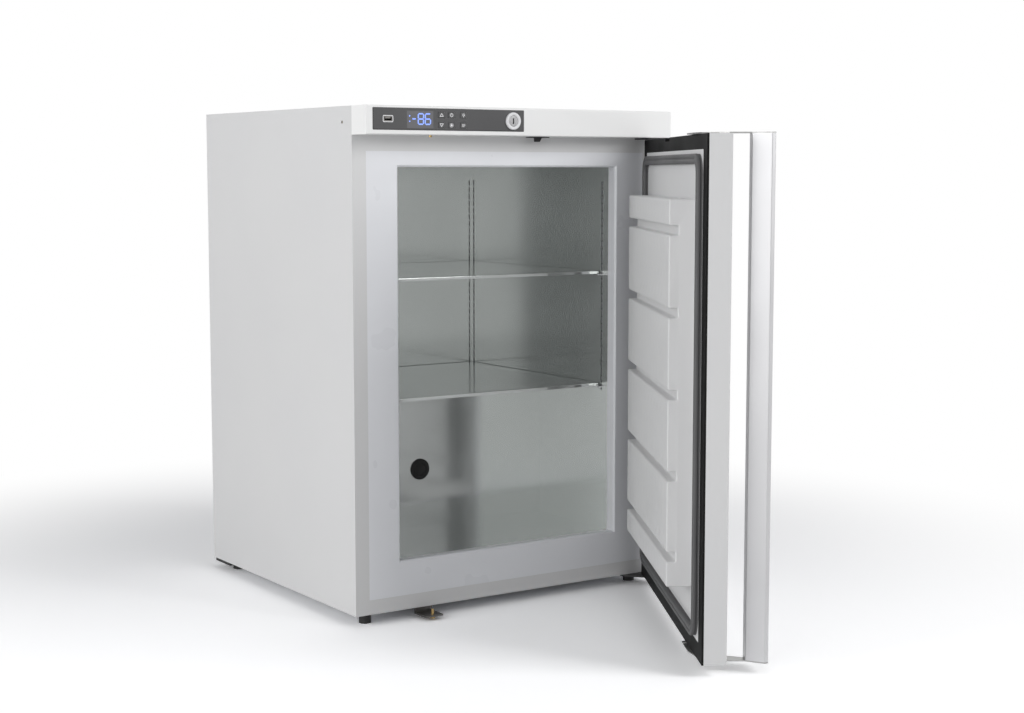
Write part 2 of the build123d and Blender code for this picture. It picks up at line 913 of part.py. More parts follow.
def keeper_box(grow):
    """Space of the lock keeper in the door's top edge."""
    left = hook_x - pocket_clearance - keeper_wall - grow
    right = hook_x + hook_width + bar_travel + pocket_clearance + keeper_wall + grow
    low = door_top - hook_depth - pocket_floor_gap - keeper_wall - grow
    near = hook_y - bar_thickness / 2 - pocket_clearance - keeper_wall - grow
    return slab(left, right, near, door_back, low, door_top)


def lock_keeper():
    """Moulded pocket: open to the inner side where the hook comes in, closed where it locks."""
    floor = door_top - hook_depth - pocket_floor_gap
    near = hook_y - bar_thickness / 2 - pocket_clearance
    far = hook_y + bar_thickness / 2 + pocket_clearance
    left = hook_x - pocket_clearance
    entry = slab(left, hook_x + hook_width + pocket_clearance, near, door_back + 1, floor, door_top + 1)
    right = hook_x + hook_width + bar_travel + pocket_clearance
    pocket = slab(left, right, near, far, floor, door_top + 1)
    return keeper_box(0) - entry - pocket


def bush_places():
    """Each bush in the door's ends: its centre, half its width, its bore and its depth."""
    hinge = (hinge_x, hinge_y, bush_half, hinge_pin_radius + running_clearance, hinge_pin_length)
    latch_bore = latch_pin_radius + running_clearance
    latch = (latch_pivot_x, latch_pivot_y, latch_bush_half, latch_bore, latch_pin_length)
    return hinge, latch


def end_pockets():
    """Square pockets at each bush, in from the door's top and bottom."""
    pockets = []
    for x, y, half, bore, depth in bush_places():
        pockets.append(post(x, y, door_top - depth, door_top + 1, half))
        pockets.append(post(x, y, door_bottom - 1, door_bottom + depth, half))
    return pockets


def door_skin_pan():
    """Painted outer pan of the door, open at the back."""
    back = door_back - door_frame_thickness
    pan = slab(door_left, door_right, door_front, back, door_bottom, door_top)
    outer_edges = pan.edges().group_by(Axis.Y)[0]
    pan = fillet(outer_edges, door_edge_radius)
    return pan - door_inside(1) - keeper_box(0) - end_pockets()


def door_inside(past):
    """Space inside the pan, carried past its open back."""
    wall = door_skin
    back = door_back - door_frame_thickness + past
    left, right = door_left + wall, door_right - wall
    return slab(left, right, door_front + wall, back, door_bottom + wall, door_top - wall)


def door_foam():
    """Foam core that fills the pan."""
    return door_inside(0) - keeper_box(0) - end_pockets()


def bushes():
    """Square bushes in the door's top and bottom, for the hinge and for the latch."""
    blocks = []
    for x, y, half, bore, depth in bush_places():
        for low in (door_top - depth, door_bottom):
            blocks.append(post(x, y, low, low + depth, half) - rod(x, y, low - 1, bore, depth + 2))
    return blocks


def gasket_bounds(inset):
    """Corners of the gasket loop, moved inwards by an inset."""
    return (
        gasket_side + inset,
        cabinet_width - gasket_side - inset,
        gasket_bottom + inset,
        door_top - gasket_top - inset,
    )


def rounded_slab(left, right, low, high, y0, y1, radius):
    """Upright plate with rounded corners."""
    plate = slab(left, right, y0, y1, low, high)
    return fillet(plate.edges().filter_by(Axis.Y), radius)


def plate_bounds():
    """Sides, bottom and top of the white plate, which the black band runs round."""
    return band_side, cabinet_width - band_side, band_bottom, door_top - band_top


def door_frame():
    """Black band round the door's inner side, outside the gasket."""
    back = door_back - door_frame_thickness
    ring = slab(door_left, door_right, back, door_back, door_bottom, door_top)
    left, right, low, high = plate_bounds()
    hole = slab(left, right, back - 1, door_back + 1, low, high)
    return ring - hole - keeper_box(0)


def door_inner_plate():
    """White plate that the gasket and the block are fixed to."""
    left, right, low, high = plate_bounds()
    return slab(left, right, door_back - door_frame_thickness, door_back, low, high)


def gasket():
    """Rubber loop with two lips and a hollow-looking valley between them."""
    front = -gasket_clearance
    left, right, low, high = gasket_bounds(0)
    body = rounded_slab(left, right, low, high, door_back, front, gasket_radius)
    left, right, low, high = gasket_bounds(gasket_width)
    hole = rounded_slab(left, right, low, high, door_back - 1, front + 1, gasket_radius - gasket_width)
    left, right, low, high = gasket_bounds(gasket_bulb)
    valley = rounded_slab(left, right, low, high, front - 2, front + 1, gasket_radius - gasket_bulb)
    left, right, low, high = gasket_bounds(gasket_width - gasket_bulb)
    core = rounded_slab(left, right, low, high, front - 3, front + 2, gasket_radius - gasket_width + gasket_bulb)
    return body - hole - (valley - core)


def door_block():
    """Insulating block on the door: tall pads between two short ones, parted by notches."""
    left, right = opening_left + block_side, opening_right - block_side
    rise = block_top - block_bottom - 2 * block_short_height - (block_tall_count + 1) * block_notch_height
    tall = rise / block_tall_count
    heights = [block_short_height] + [tall] * block_tall_count + [block_short_height]
    floor = block_front - block_notch_depth
    path = [(door_back, block_bottom)]
    z = block_bottom
    for height in heights:
        path += [(block_front, z), (block_front, z + height)]
        z += height
        if z < block_top - 1:
            path += [(floor, z), (floor, z + block_notch_height)]
            z += block_notch_height
    path.append((door_back, block_top))
    block = prism(path, left, right, "x")
    uprights = block.edges().filter_by(Axis.Z).filter_by_position(Axis.Y, block_front - 1, block_front + 1)
    return fillet(uprights, block_radius)


def grip_points():
    """Corners of the grip's section, seen from above, from its waist round to its waist."""
    near, far = door_front - handle_gap, door_front - handle_reach
    left = door_left + grip_left
    right = left + grip_width
    waist = door_left + waist_left
    return [
        (waist, near),
        (left, far + handle_lip),
        (left + grip_corner, far),
        (right - 2 * grip_corner, far),
        (right, far + handle_lip),
        (waist + waist_width, near),
    ]


def handle_section(inset):
    """Section of the grip with rounded corners."""
    outline = make_face(Polyline(*grip_points(), close=True))
    rounded = fillet(outline.vertices(), handle_radius)
    return offset(rounded, amount=-inset) if inset else rounded


def handle_grip():
    """Hollow profile the full height of the door."""
    height = latch_top - latch_bottom
    solid = extrude(handle_section(0), amount=height)
    hollow = extrude(handle_section(handle_wall), amount=height)
    return Pos(0, 0, latch_bottom) * (solid - hollow)


def latch_slot(z0, z1):
    """Mouth that lets the catch pin in, and the curved slot that holds it once the latch has turned."""
    dx, dy = catch_x - latch_pivot_x, catch_y - latch_pivot_y
    spot = Vector(dx, dy)
    start = Vector(1, 0, 0).get_signed_angle(spot, Vector(0, 0, 1))
    track = CenterArc((latch_pivot_x, latch_pivot_y), spot.length, start, latch_turn)
    width = 2 * (catch_radius + catch_clearance)
    curve = SlotArc(track, width)
    mouth = slab(catch_x - width / 2, catch_x + width / 2, catch_y, 1, z0, z1)
    return Pos(0, 0, z0) * extrude(curve, amount=z1 - z0) + mouth


def latch_plate(z0):
    """Plate from the grip over the door's end to the catch, seen from above as one bent lever."""
    z1 = z0 + latch_plate_thickness
    edge = -tongue_front
    lean = sin(radians(latch_turn))
    slant = latch_pivot_x - lever_slant
    tail = latch_pivot_x - lever_tail
    waist = latch_pivot_y - lever_waist
    grip = grip_points()
    outline = [
        (tail, edge - (slant - tail) * lean),
        (slant, edge),
        (tongue_end - tongue_corner, edge),
        (tongue_end, edge - tongue_corner),
        (tongue_end, latch_pivot_y + tongue_corner),
        (latch_pivot_x + lever_slant, waist),
        (latch_pivot_x - lever_neck, waist),
        (tail, door_front - tongue_corner),
        *grip[::-1],
        (grip[0][0] + grip_corner, door_front),
        (tail - lever_slant, latch_pivot_y),
        (tail, catch_y),
    ]
    plate = prism(outline, z0, z1, "z")
    pin_hole = rod(latch_pivot_x, latch_pivot_y, z0 - 1, latch_pin_radius, latch_plate_thickness + 2)
    return plate - pin_hole - latch_slot(z0 - 1, z1 + 1)


def latch_pivots():
    """Two headed pins that the latch turns on."""
    head = extrude(RegularPolygon(latch_head_radius, 6), amount=latch_head)
    top = latch_top + latch_plate_thickness
    low = latch_bottom - latch_plate_thickness
    reach = latch_pin_length - 1
    upper = rod(latch_pivot_x, latch_pivot_y, door_top - reach, latch_pin_radius, top - door_top + reach)
    upper += Pos(latch_pivot_x, latch_pivot_y, top) * head
    lower = rod(latch_pivot_x, latch_pivot_y, low, latch_pin_radius, door_bottom - low + reach)
    lower += Pos(latch_pivot_x, latch_pivot_y, low - latch_head) * head
    return [upper, lower]


def catch_pin_top():
    """Brass pin under the fascia."""
    tip = door_top + catch_tip_gap
    pin = rod(catch_x, catch_y, tip, catch_radius, fascia_z + fascia_wall - tip)
    return pin + rod(catch_x, catch_y, fascia_z + fascia_wall, 2 * catch_radius, catch_head)


def catch_bracket():
    """Stepped bracket under the base that carries the lower catch pin."""
    drop = -catch_bracket_drop
    thick = catch_bracket_sheet
    front = catch_y - catch_bracket_width / 5
    step = catch_step
    path = [
        (front, drop),
        (step + thick, drop),
        (step + thick, -thick),
        (catch_bracket_depth + front, -thick),
        (catch_bracket_depth + front, 0),
        (step, 0),
        (step, drop + thick),
        (front, drop + thick),
    ]
    half = catch_bracket_width / 2
    bracket = prism(path, catch_x - half, catch_x + half, "x")
    return bracket - rod(catch_x, catch_y, drop - 1, catch_radius, thick + 2)


def catch_pin_bottom():
    """Upright brass pin with its nut under the bracket."""
    tip = door_bottom - catch_tip_gap
    low = -catch_bracket_drop - catch_nut_height
    pin = rod(catch_x, catch_y, low, catch_radius, tip - low)
    nut = extrude(RegularPolygon(catch_nut_radius, 6), amount=catch_nut_height)
    return pin + Pos(catch_x, catch_y, low) * nut


def hinge_plate_outline():
    """Plate from the cabinet's underside forward to the hinge axis."""
    margin = hinge_plate_margin
    rear = foot_front_inset - foot_radius - hinge_foot_gap
    return [
        (hinge_x - 4 * margin, rear),
        (hinge_x - 4 * margin, -4),
        (hinge_x - margin, hinge_y - margin + 3),
        (hinge_x + margin - 3, hinge_y - margin),
        (hinge_x + margin, hinge_y - margin + 3),
        (hinge_x + margin, rear),
    ]


def hinge_plates():
    """Bottom plate under the base, and top plate under the fascia."""
    low = prism(hinge_plate_outline(), -hinge_plate_thickness, 0, "z")
    low -= rod(hinge_x, hinge_y, -hinge_plate_thickness - 1, hinge_pin_radius, hinge_plate_thickness + 2)
    margin = hinge_plate_margin
    z = fascia_z - top_hinge_thickness
    high = slab(hinge_x - 2.5 * margin, hinge_x + margin, hinge_y - margin, -2, z, fascia_z)
    high = fillet(high.edges().filter_by(Axis.Z), 3)
    high -= rod(hinge_x, hinge_y, z - 1, hinge_pin_radius, top_hinge_thickness + 2)
    return [low, high]


def hinge_pins():
    """Pins that stand in the plates and reach into the door's bushes."""
    reach = door_bottom + hinge_pin_length - 1
    low = rod(hinge_x, hinge_y, -hinge_plate_thickness, hinge_pin_radius, hinge_plate_thickness + reach)
    tip = door_top - hinge_pin_length + 1
    high = rod(hinge_x, hinge_y, tip, hinge_pin_radius, fascia_z + fascia_wall + 3 - tip)
    return [low, high]


def compressor(x):
    """Hermetic shell: a domed can in two halves on a wide foot plate."""
    r, h, base = compressor_radius, compressor_height, sheet + compressor_base
    half = [(0, 0), (0.83 * r, 0), (r, 0.1 * h), (r, 0.7 * h), (0.88 * r, 0.84 * h), (0.62 * r, 0.95 * h)]
    half += [(0.3 * r, h), (0, h)]
    face = outline_face([(x + across, base + up) for across, up in half], compressor_y, "y")
    shell = revolve(face, Axis((x, compressor_y, base), (0, 0, 1)))
    band = rod(x, compressor_y, base + 0.55 * h, r + band_proud, band_height)
    span = mount_pitch + foot_plate_margin
    plate = slab(x - span, x + span, compressor_y - span, compressor_y + span, base - foot_plate, base)
    plate = chamfer(plate.edges().filter_by(Axis.Z), foot_plate_corner)
    return shell + band + plate


def compressor_mounts():
    """Rubber blocks between the compressors' foot plates and the base."""
    top = sheet + compressor_base - foot_plate
    spots = [
        (x + dx, compressor_y + dy)
        for x in (compressor_left_x, compressor_right_x)
        for dx in (-mount_pitch, mount_pitch)
        for dy in (-mount_pitch, mount_pitch)
    ]
    return [post(x, y, sheet, top, mount_half) for x, y in spots]


def tube_levels():
    """Heights of the condenser's flat tubes."""
    pitch = condenser_height / flat_tube_count
    return [condenser_low + (i + 0.5) * pitch for i in range(flat_tube_count)]


def condenser_coil():
    """Flat tubes between two upright round headers."""
    y = condenser_y + header_radius
    left = condenser_left + header_radius
    right = condenser_left + condenser_width - header_radius
    coil = rod(left, y, condenser_low, header_radius, condenser_height)
    coil += rod(right, y, condenser_low, header_radius, condenser_height)
    half_d, half_h = flat_tube_depth / 2, flat_tube_height / 2
    tubes = [slab(left, right, y - half_d, y + half_d, z - half_h, z + half_h) for z in tube_levels()]
    return coil + tubes


def condenser_fins():
    """Folded fin strips that fill the gaps between the flat tubes."""
    y = condenser_y + header_radius
    left = condenser_left + 2 * header_radius
    pitch = (condenser_width - 4 * header_radius) / fin_folds
    levels = tube_levels()
    strips = []
    for below, above in zip(levels[:-1], levels[1:]):
        low = below + flat_tube_height / 2 + fin_sheet
        high = above - flat_tube_height / 2
        path = []
        for i in range(fin_folds):
            x = left + i * pitch
            path += [(x, low), (x + pitch / 2, low), (x + pitch / 2, high), (x + pitch, high)]
        strips.append(bent_sheet(path, fin_sheet, y - flat_tube_depth / 2, y + flat_tube_depth / 2, "y"))
    return strips


def fan_place():
    return condenser_left + condenser_width / 2, condenser_low + condenser_height / 2


def fan_shroud():
    """Plate in front of the condenser with a round duct for the fan."""
    x, z = fan_place()
    back = condenser_y
    front = back - shroud_depth
    half_w, half_h = condenser_width / 2, condenser_height / 2
    plate = slab(x - half_w, x + half_w, back - shroud_wall, back, z - half_h, z + half_h)
    bore = fan_radius + fan_clearance
    duct = rod(x, front, z, bore + shroud_wall, shroud_depth, "y")
    feet_block = slab(x - half_w, x + half_w, back - shroud_wall, back, sheet, z - half_h)
    return plate + duct + feet_block - rod(x, front - 1, z, bore, shroud_depth + 2, "y")


def fan_motor():
    """Motor on a cross bar in front of the duct."""
    x, z = fan_place()
    front = condenser_y - shroud_depth
    arm = fan_radius + fan_clearance + shroud_wall
    bar_front, half = front - motor_bar_depth, motor_bar_height / 2
    can = rod(x, front - motor_length, z, motor_radius, motor_length - motor_bar_depth, "y")
    bar = slab(x - arm, x + arm, bar_front, front, z - half, z + half)
    bore = rod(x, front - motor_length / 2, z, fan_shaft_radius + running_clearance, motor_length, "y")
    return can + bar - bore


def fan():
    """Bladed rotor on the motor's shaft."""
    x, z = fan_place()
    front = condenser_y - shroud_depth
    hub = rod(x, front + fan_hub_gap, z, fan_hub_radius, fan_hub_height, "y")
    start = front - motor_length / 2 + fan_hub_gap
    shaft = rod(x, start, z, fan_shaft_radius, front + fan_hub_gap - start, "y")
    middle = front + fan_hub_gap + fan_hub_height / 2
    rotor = hub + shaft
    for i in range(fan_blade_count):
        rotor += Pos(x, middle, z) * Rotation(0, 360 * i / fan_blade_count, 0) * fan_blade()
    return rotor


def fan_blade():
    """Flat blade that widens towards its tip, tilted about its own length."""
    root, tip = 0.15 * fan_radius, 0.3 * fan_radius
    start = 0.8 * fan_hub_radius
    outline = [(start, -root), (fan_radius, -tip), (fan_radius, tip), (start, root)]
    half = fan_blade_thickness / 2
    return Rotation(fan_blade_tilt, 0, 0) * prism(outline, -half, half, "y")


def filter_drier():
    """Copper filter drier lying on the machine bay's floor, drawn in at its ends."""
    x = condenser_left + drier_offset
    y = bay_front + drier_wall_gap + drier_radius
    body = rod(x, y, sheet + drier_radius, drier_radius, drier_length, "x")
    return chamfer(body.edges().filter_by(GeomType.CIRCLE), drier_cone)


def discharge_line():
    """Copper tube from one compressor up and over to the other."""
    z = sheet + compressor_base + 0.47 * compressor_height
    y = compressor_y + compressor_radius + band_proud + line_gap + pipe_radius
    x0, x1 = compressor_left_x, compressor_right_x
    path = Polyline((x0, y, z), (x0, y, z + pipe_rise), (x1, y, z + pipe_rise), (x1, y, z))
    start = Plane((x0, y, z), z_dir=(0, 0, 1))
    return sweep(start * Circle(pipe_radius), path, transition=Transition.RIGHT)


def power_inlet():
    """Recessed mains inlet in the service panel, with its three blades."""
    rear = cabinet_depth - sheet
    floor = rear - inlet_depth + inlet_floor
    wall = inlet_wall
    left, right = inlet_x - inlet_width / 2, inlet_x + inlet_width / 2
    low, high = inlet_z - inlet_height / 2, inlet_z + inlet_height / 2
    part = slab(left, right, rear - inlet_depth, rear, low, high)
    part -= slab(left + wall, right - wall, floor, rear + 1, low + wall, high - wall)
    half_w, half_h = blade_width / 2, blade_height / 2
    for dx, dz in ((-blade_spread, -half_h), (0, blade_height), (blade_spread, -half_h)):
        x, z = inlet_x + dx, inlet_z + dz
        part += slab(x - half_w, x + half_w, floor, floor + blade_reach, z - half_h, z + half_h)
    return part


def cabinet_place(piece):
    """Move a piece from the cabinet's corner to the floor between the feet."""
    return Pos(-cabinet_width / 2, -(foot_ys[0] + foot_ys[1]) / 2, foot_height) * piece


def opened(piece):
    """Turn a piece of the closed door open about the hinge, then place it."""
    turn = Pos(hinge_x, hinge_y, 0) * Rotation(0, 0, door_open_angle) * Pos(-hinge_x, -hinge_y, 0)
    return cabinet_place(turn * piece)


def save(name, shape, place=cabinet_place):
    """Write one node: a single solid, or a group of separate ones."""
    pieces = shape if isinstance(shape, list) else [shape]
    placed = [place(piece) for piece in pieces]
    whole = placed[0] if len(placed) == 1 else Compound(children=placed)
    export_step(whole, f"parts/{name}.step")


def save_all(shapes, place=cabinet_place):
    for name, shape in shapes.items():
        save(name, shape, place)


left_panel = side_panel()
left_liner = liner_side()

save_all({
    "side_panel_left": left_panel,
    "side_panel_right": other_side(left_panel),
    "top_panel": top_panel(),
    "base_pan": base_pan(),
    "back_panel": back_panel(bay_top, cabinet_height - 2 * sheet),
    "service_panel": service_panel(),
    "front_rails": [front_rail(rail_z, cabinet_height), front_rail(0, bottom_rail_height)],
    "feet": feet() + skids(),
    "breaker_frame": breaker_rails(),
    "liner_side_walls": [left_liner, other_side(left_liner)],
})
save_all(liner_sheets())
save_all({
    "pilaster_channels": pilaster_channels(),
    "insulation": insulation(),
    "port_tube": port_tube(),
    "port_plug": port_plug(),
    "shelf_upper": shelf(shelf_upper_top),
    "shelf_lower": shelf(shelf_lower_top),
    "shelf_clips": shelf_clips(shelf_upper_top) + shelf_clips(shelf_lower_top),
    "bay_wall": bay_wall(),
})
save_all({
    "fascia": fascia(),
    "control_overlay": control_overlay(),
    "display_window": display_window(),
    "controller_board": controller_board(),
    "usb_socket": usb_socket(),
    "lock_ring": lock_ring(),
    "lock_barrel": lock_barrel(),
    "lock_bar": lock_bar(),
    "catch_bracket": catch_bracket(),
    "catch_pins": [catch_pin_top(), catch_pin_bottom()],
    "hinge_plates": hinge_plates(),
    "hinge_pins": hinge_pins(),
})
for number, (key_x, key_z) in enumerate(key_places(), start=1):
    save(f"key_{number}", key_cap(key_x, key_z))
save_all({
    "compressors": [compressor(compressor_left_x), compressor(compressor_right_x)],
    "compressor_mounts": compressor_mounts(),
    "condenser_fins": condenser_fins(),
    "condenser_coil": condenser_coil(),
    "refrigerant_lines": [discharge_line(), filter_drier()],
    "fan_shroud": fan_shroud(),
    "fan_motor": fan_motor(),
    "fan": fan(),
    "power_inlet": power_inlet(),
})
save_all(
    {
        "door_skin": door_skin_pan(),
        "door_foam": door_foam(),
        "door_frame": door_frame(),
        "door_inner_plate": door_inner_plate(),
        "door_gasket": gasket(),
        "door_block": door_block(),
        "door_bushes": bushes(),
        "lock_keeper": lock_keeper(),
        "handle_grip": handle_grip(),
        "latch_plates": [latch_plate(latch_top), latch_plate(latch_bottom - latch_plate_thickness)],
        "latch_pivots": latch_pivots(),
    },
    opened,
)
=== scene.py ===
"""Looks of an undercounter ultra low temperature freezer with its door standing open.

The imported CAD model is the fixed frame. Every new piece is worked out in cabinet millimetres
(x from the left side, y back from the front plane, z up from the underside) and then placed.
"""

from math import pi, radians

import bpy
import numpy as np
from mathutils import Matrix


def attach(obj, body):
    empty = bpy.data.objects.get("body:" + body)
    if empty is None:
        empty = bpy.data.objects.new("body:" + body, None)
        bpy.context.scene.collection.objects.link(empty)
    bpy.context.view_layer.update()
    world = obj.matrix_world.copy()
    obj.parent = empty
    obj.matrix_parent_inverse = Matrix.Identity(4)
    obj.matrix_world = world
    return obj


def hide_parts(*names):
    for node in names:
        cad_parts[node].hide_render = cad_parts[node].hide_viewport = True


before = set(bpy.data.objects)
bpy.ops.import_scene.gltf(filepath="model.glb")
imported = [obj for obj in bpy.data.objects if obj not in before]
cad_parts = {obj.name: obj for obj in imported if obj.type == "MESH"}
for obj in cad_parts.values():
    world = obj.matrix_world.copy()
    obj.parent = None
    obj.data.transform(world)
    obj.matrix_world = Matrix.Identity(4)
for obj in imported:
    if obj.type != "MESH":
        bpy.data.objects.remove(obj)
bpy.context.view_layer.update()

# Places and sizes of the cabinet, in millimetres, as the frame has them
MIDDLE = np.array([-300.0, -262.5, 18.0])
HINGE = np.array([585.0, -30.0])
OPEN = radians(60.2)
FASCIA_Z = 768.0
PANEL_Y = -46.4
CHAMBER_LEFT = 83.5
CHAMBER_RIGHT = 516.5
DOOR_BACK = -9.0

# Insulating block on the door: its ends and depths, its pads and notches, its edges and dimples
BLOCK_SIDES = (90.0, 510.0)
BLOCK_FRONT = 29.5
BLOCK_FLOOR = 15.5
BLOCK_LOW = 96.0
BLOCK_HIGH = 670.8
FIRST_PAD_TOP = 134.0
PAD_HEIGHT = 106.575
NOTCH_HEIGHT = 14.5
NOTCHES = 5
PAD_EDGE_RADIUS = 3.0
NOTCH_EDGE_RADIUS = 2.0
BLOCK_END_RADIUS = 1.9
BLOCK_STATIONS = 131
DIMPLE_COLUMNS = 14
DIMPLE_ROW_PITCH = 36.0
DIMPLE_RADIUS = 12.5
DIMPLE_DEPTH = 0.9

# Gasket's loop round the closed door, as left, right, low and high, and its corner radius
GASKET_BOUNDS = (32.0, 568.0, 30.5, 736.5)
GASKET_CORNER = 30.0

# Control panel: lock, display, keys and socket, and how far each print and the painted shadow line at the
# film's edge stand off the film
LOCK_CENTRE = (271.8, 0.0, 791.9)
DIGIT_LOW = 784.4
DIGIT_HEIGHT = 16.3
DIGIT_WIDTH = 9.6
SEGMENT_WIDTH = 2.1
KEY_COLUMNS = (135.9, 154.4, 176.9)
KEY_ROWS = (FASCIA_Z + 15.5, FASCIA_Z + 31.5)
SOCKET_BOUNDS = (30.0, 47.5, 787.4, 797.0)
SOCKET_CORNER = 1.3
DIGIT_LIFT = 0.04
OUTLINE_LIFT = 0.05
# How far the painted shadow line along the film's left and lower edge stands off the film
FILM_SHADE_LIFT = 0.03
KEY_LIFT = 0.56

# Shelves and the access port's stopper
SHELF_CLEARANCE = 2.5
SHELF_NEAR = 42.0
SHELF_FAR = 457.0
SHELF_LIP = 5.5
SHELF_FOLD = 1.6
SHELF_CORNER = 2.4
SHELF_TOPS = {"shelf_upper": 538.0, "shelf_lower": 340.5}
PORT_CENTRE = (256.5, 227.0, 184.3)

# Camera and lamps, in metres, millimetres of lens, degrees and watts
CAMERA_PLACE = (-1.64299, -2.70119, 0.72922)
CAMERA_TILT = 84.012
CAMERA_HEADING = -33.99
CAMERA_LENS = 62.10
WORLD_STRENGTH = 0.32
LAMP_SIZE = 1.8
LAMP_TARGET = (0.0, -0.2, 0.45)
LAMPS = {
    "right_softbox": ((1.8, -3.2, 2.2), 68.0),
    "left_softbox": ((-3.4, -0.2, 1.1), 42.0),
    "low_softbox": ((-2.8, -2.2, 1.2), 18.0),
}
FLOOR_RINGS = (0.0, 0.5, 1.0, 2.0, 4.0, 9.0)
FLOOR_SPOKES = 96
FLOOR_FADE = (0.55, 1.5)

# Meshes: edges sharper than the angle stay creased, and no corner is tighter than the radius
SHARP_ANGLE = radians(40)
SMALLEST_RADIUS = 0.05


# Camera, floor and light


def add_camera():
    """Camera at the photograph's place: 62.1 mm lens, turned 34 degrees right and 6 degrees down."""
    data = bpy.data.cameras.new("camera")
    data.lens = CAMERA_LENS
    data.sensor_width = 36.0
    data.clip_end = 100.0
    camera = bpy.data.objects.new("camera", data)
    camera.location = CAMERA_PLACE
    camera.rotation_euler = (radians(CAMERA_TILT), 0.0, radians(CAMERA_HEADING))
    bpy.context.scene.collection.objects.link(camera)
    bpy.context.scene.camera = camera


def soft_light(name, place, power):
    """Square lamp at a place: tilted by the angle from straight down, then turned to the target."""
    data = bpy.data.lights.new(name, "AREA")
    data.shape = "RECTANGLE"
    data.size = LAMP_SIZE
    data.size_y = LAMP_SIZE
    data.energy = power
    lamp = bpy.data.objects.new(name, data)
    lamp.location = place
    way = np.subtract(LAMP_TARGET, place)
    lamp.rotation_euler = (
        float(np.arctan2(np.hypot(way[0], way[1]), -way[2])),
        0.0,
        float(np.arctan2(-way[0], way[1])),
    )
    bpy.context.scene.collection.objects.link(lamp)


def seen_directly(tree):
    """Mask: the highest of the camera, glossy and transmission rays, so 1 for those and else 0."""
    path = tree.nodes.new("ShaderNodeLightPath")
    last = path.outputs["Is Camera Ray"]
    for label in ("Is Glossy Ray", "Is Transmission Ray"):
        either = tree.nodes.new("ShaderNodeMath")
        either.operation = "MAXIMUM"
        tree.links.new(last, either.inputs[0])
        tree.links.new(path.outputs[label], either.inputs[1])
        last = either.outputs[0]
    return last


def add_world():
    """White to the camera and in reflections, a softer grey as light."""
    world = bpy.data.worlds.new("studio")
    world.use_nodes = True
    tree = world.node_tree
    tree.nodes.clear()
    light = tree.nodes.new("ShaderNodeBackground")
    light.inputs["Color"].default_value = (0.97, 0.98, 1.0, 1.0)
    light.inputs["Strength"].default_value = WORLD_STRENGTH
    white = tree.nodes.new("ShaderNodeBackground")
    white.inputs["Color"].default_value = (1.0, 1.0, 1.0, 1.0)
    white.inputs["Strength"].default_value = 1.0
    mix = tree.nodes.new("ShaderNodeMixShader")
    out = tree.nodes.new("ShaderNodeOutputWorld")
    tree.links.new(seen_directly(tree), mix.inputs[0])
    tree.links.new(light.outputs[0], mix.inputs[1])
    tree.links.new(white.outputs[0], mix.inputs[2])
    tree.links.new(mix.outputs[0], out.inputs["Surface"])
    bpy.context.scene.world = world


def add_floor():
    """Round floor, each ring's radius times (cos, sin): it takes the object's shadow near by and
    fades into the white background further out."""
    rings, spokes = len(FLOOR_RINGS), FLOOR_SPOKES
    angle = np.linspace(0, 2 * pi, spokes, endpoint=False)
    across = np.outer(FLOOR_RINGS, np.cos(angle))
    along = np.outer(FLOOR_RINGS, np.sin(angle))
    points = np.stack([across, along, np.zeros((rings, spokes))], -1).reshape(-1, 3)
    floor = mesh_object("floor", points, grid_faces(rings, spokes, wrap_columns=True))
    material = bpy.data.materials.new("pale_floor")
    material.use_nodes = True
    tree = material.node_tree
    tree.nodes.clear()
    plain = tree.nodes.new("ShaderNodeBsdfDiffuse")
    plain.inputs["Color"].default_value = (0.75, 0.75, 0.75, 1.0)
    shown = tree.nodes.new("ShaderNodeBsdfDiffuse")
    shown.inputs["Color"].default_value = (1.4, 1.4, 1.41, 1.0)
    white = tree.nodes.new("ShaderNodeEmission")
    where = tree.nodes.new("ShaderNodeTexCoord")
    reach = tree.nodes.new("ShaderNodeVectorMath")
    reach.operation = "LENGTH"
    fade = tree.nodes.new("ShaderNodeMapRange")
    fade.interpolation_type = "SMOOTHSTEP"
    fade.inputs["From Min"].default_value = FLOOR_FADE[0]
    fade.inputs["From Max"].default_value = FLOOR_FADE[1]
    far = tree.nodes.new("ShaderNodeMixShader")
    mix = tree.nodes.new("ShaderNodeMixShader")
    out = tree.nodes.new("ShaderNodeOutputMaterial")
    tree.links.new(where.outputs["Object"], reach.inputs[0])
    tree.links.new(reach.outputs["Value"], fade.inputs["Value"])
    tree.links.new(fade.outputs["Result"], far.inputs[0])
    tree.links.new(shown.outputs[0], far.inputs[1])
    tree.links.new(white.outputs[0], far.inputs[2])
    tree.links.new(seen_directly(tree), mix.inputs[0])
    tree.links.new(plain.outputs[0], mix.inputs[1])
    tree.links.new(far.outputs[0], mix.inputs[2])
    tree.links.new(mix.outputs[0], out.inputs["Surface"])
    floor.data.materials.append(material)


# Meshes from arrays


def mesh_object(name, points, faces, smooth=True):
    """Mesh object from points in metres and lists of corners, with creases kept at sharp edges."""
    mesh = bpy.data.meshes.new(name)
    mesh.from_pydata(np.asarray(points, float).tolist(), [], [list(map(int, f)) for f in faces])
    mesh.validate()
    if smooth:
        mesh.shade_smooth()
        mesh.set_sharp_from_angle(angle=SHARP_ANGLE)
    mesh.update()
    made = bpy.data.objects.new(name, mesh)
    bpy.context.scene.collection.objects.link(made)
    return made


def grid_faces(rows, columns, wrap_rows=False, wrap_columns=False, start=0):
    """Corners of a grid's quads: (i, j), (i, j+1), (i+1, j+1), (i+1, j), wrapped where asked."""
    i = np.arange(rows if wrap_rows else rows - 1)
    j = np.arange(columns if wrap_columns else columns - 1)
    a, b = np.meshgrid(i, j, indexing="ij")
    c, d = (a + 1) % rows, (b + 1) % columns
    quads = [a * columns + b, a * columns + d, c * columns + d, c * columns + b]
    return (np.stack(quads, -1).reshape(-1, 4) + start).tolist()


def placed(points):
    """Cabinet millimetres to the frame's metres: (p + middle) / 1000."""
    return (np.asarray(points, float).reshape(-1, 3) + MIDDLE) / 1000.0


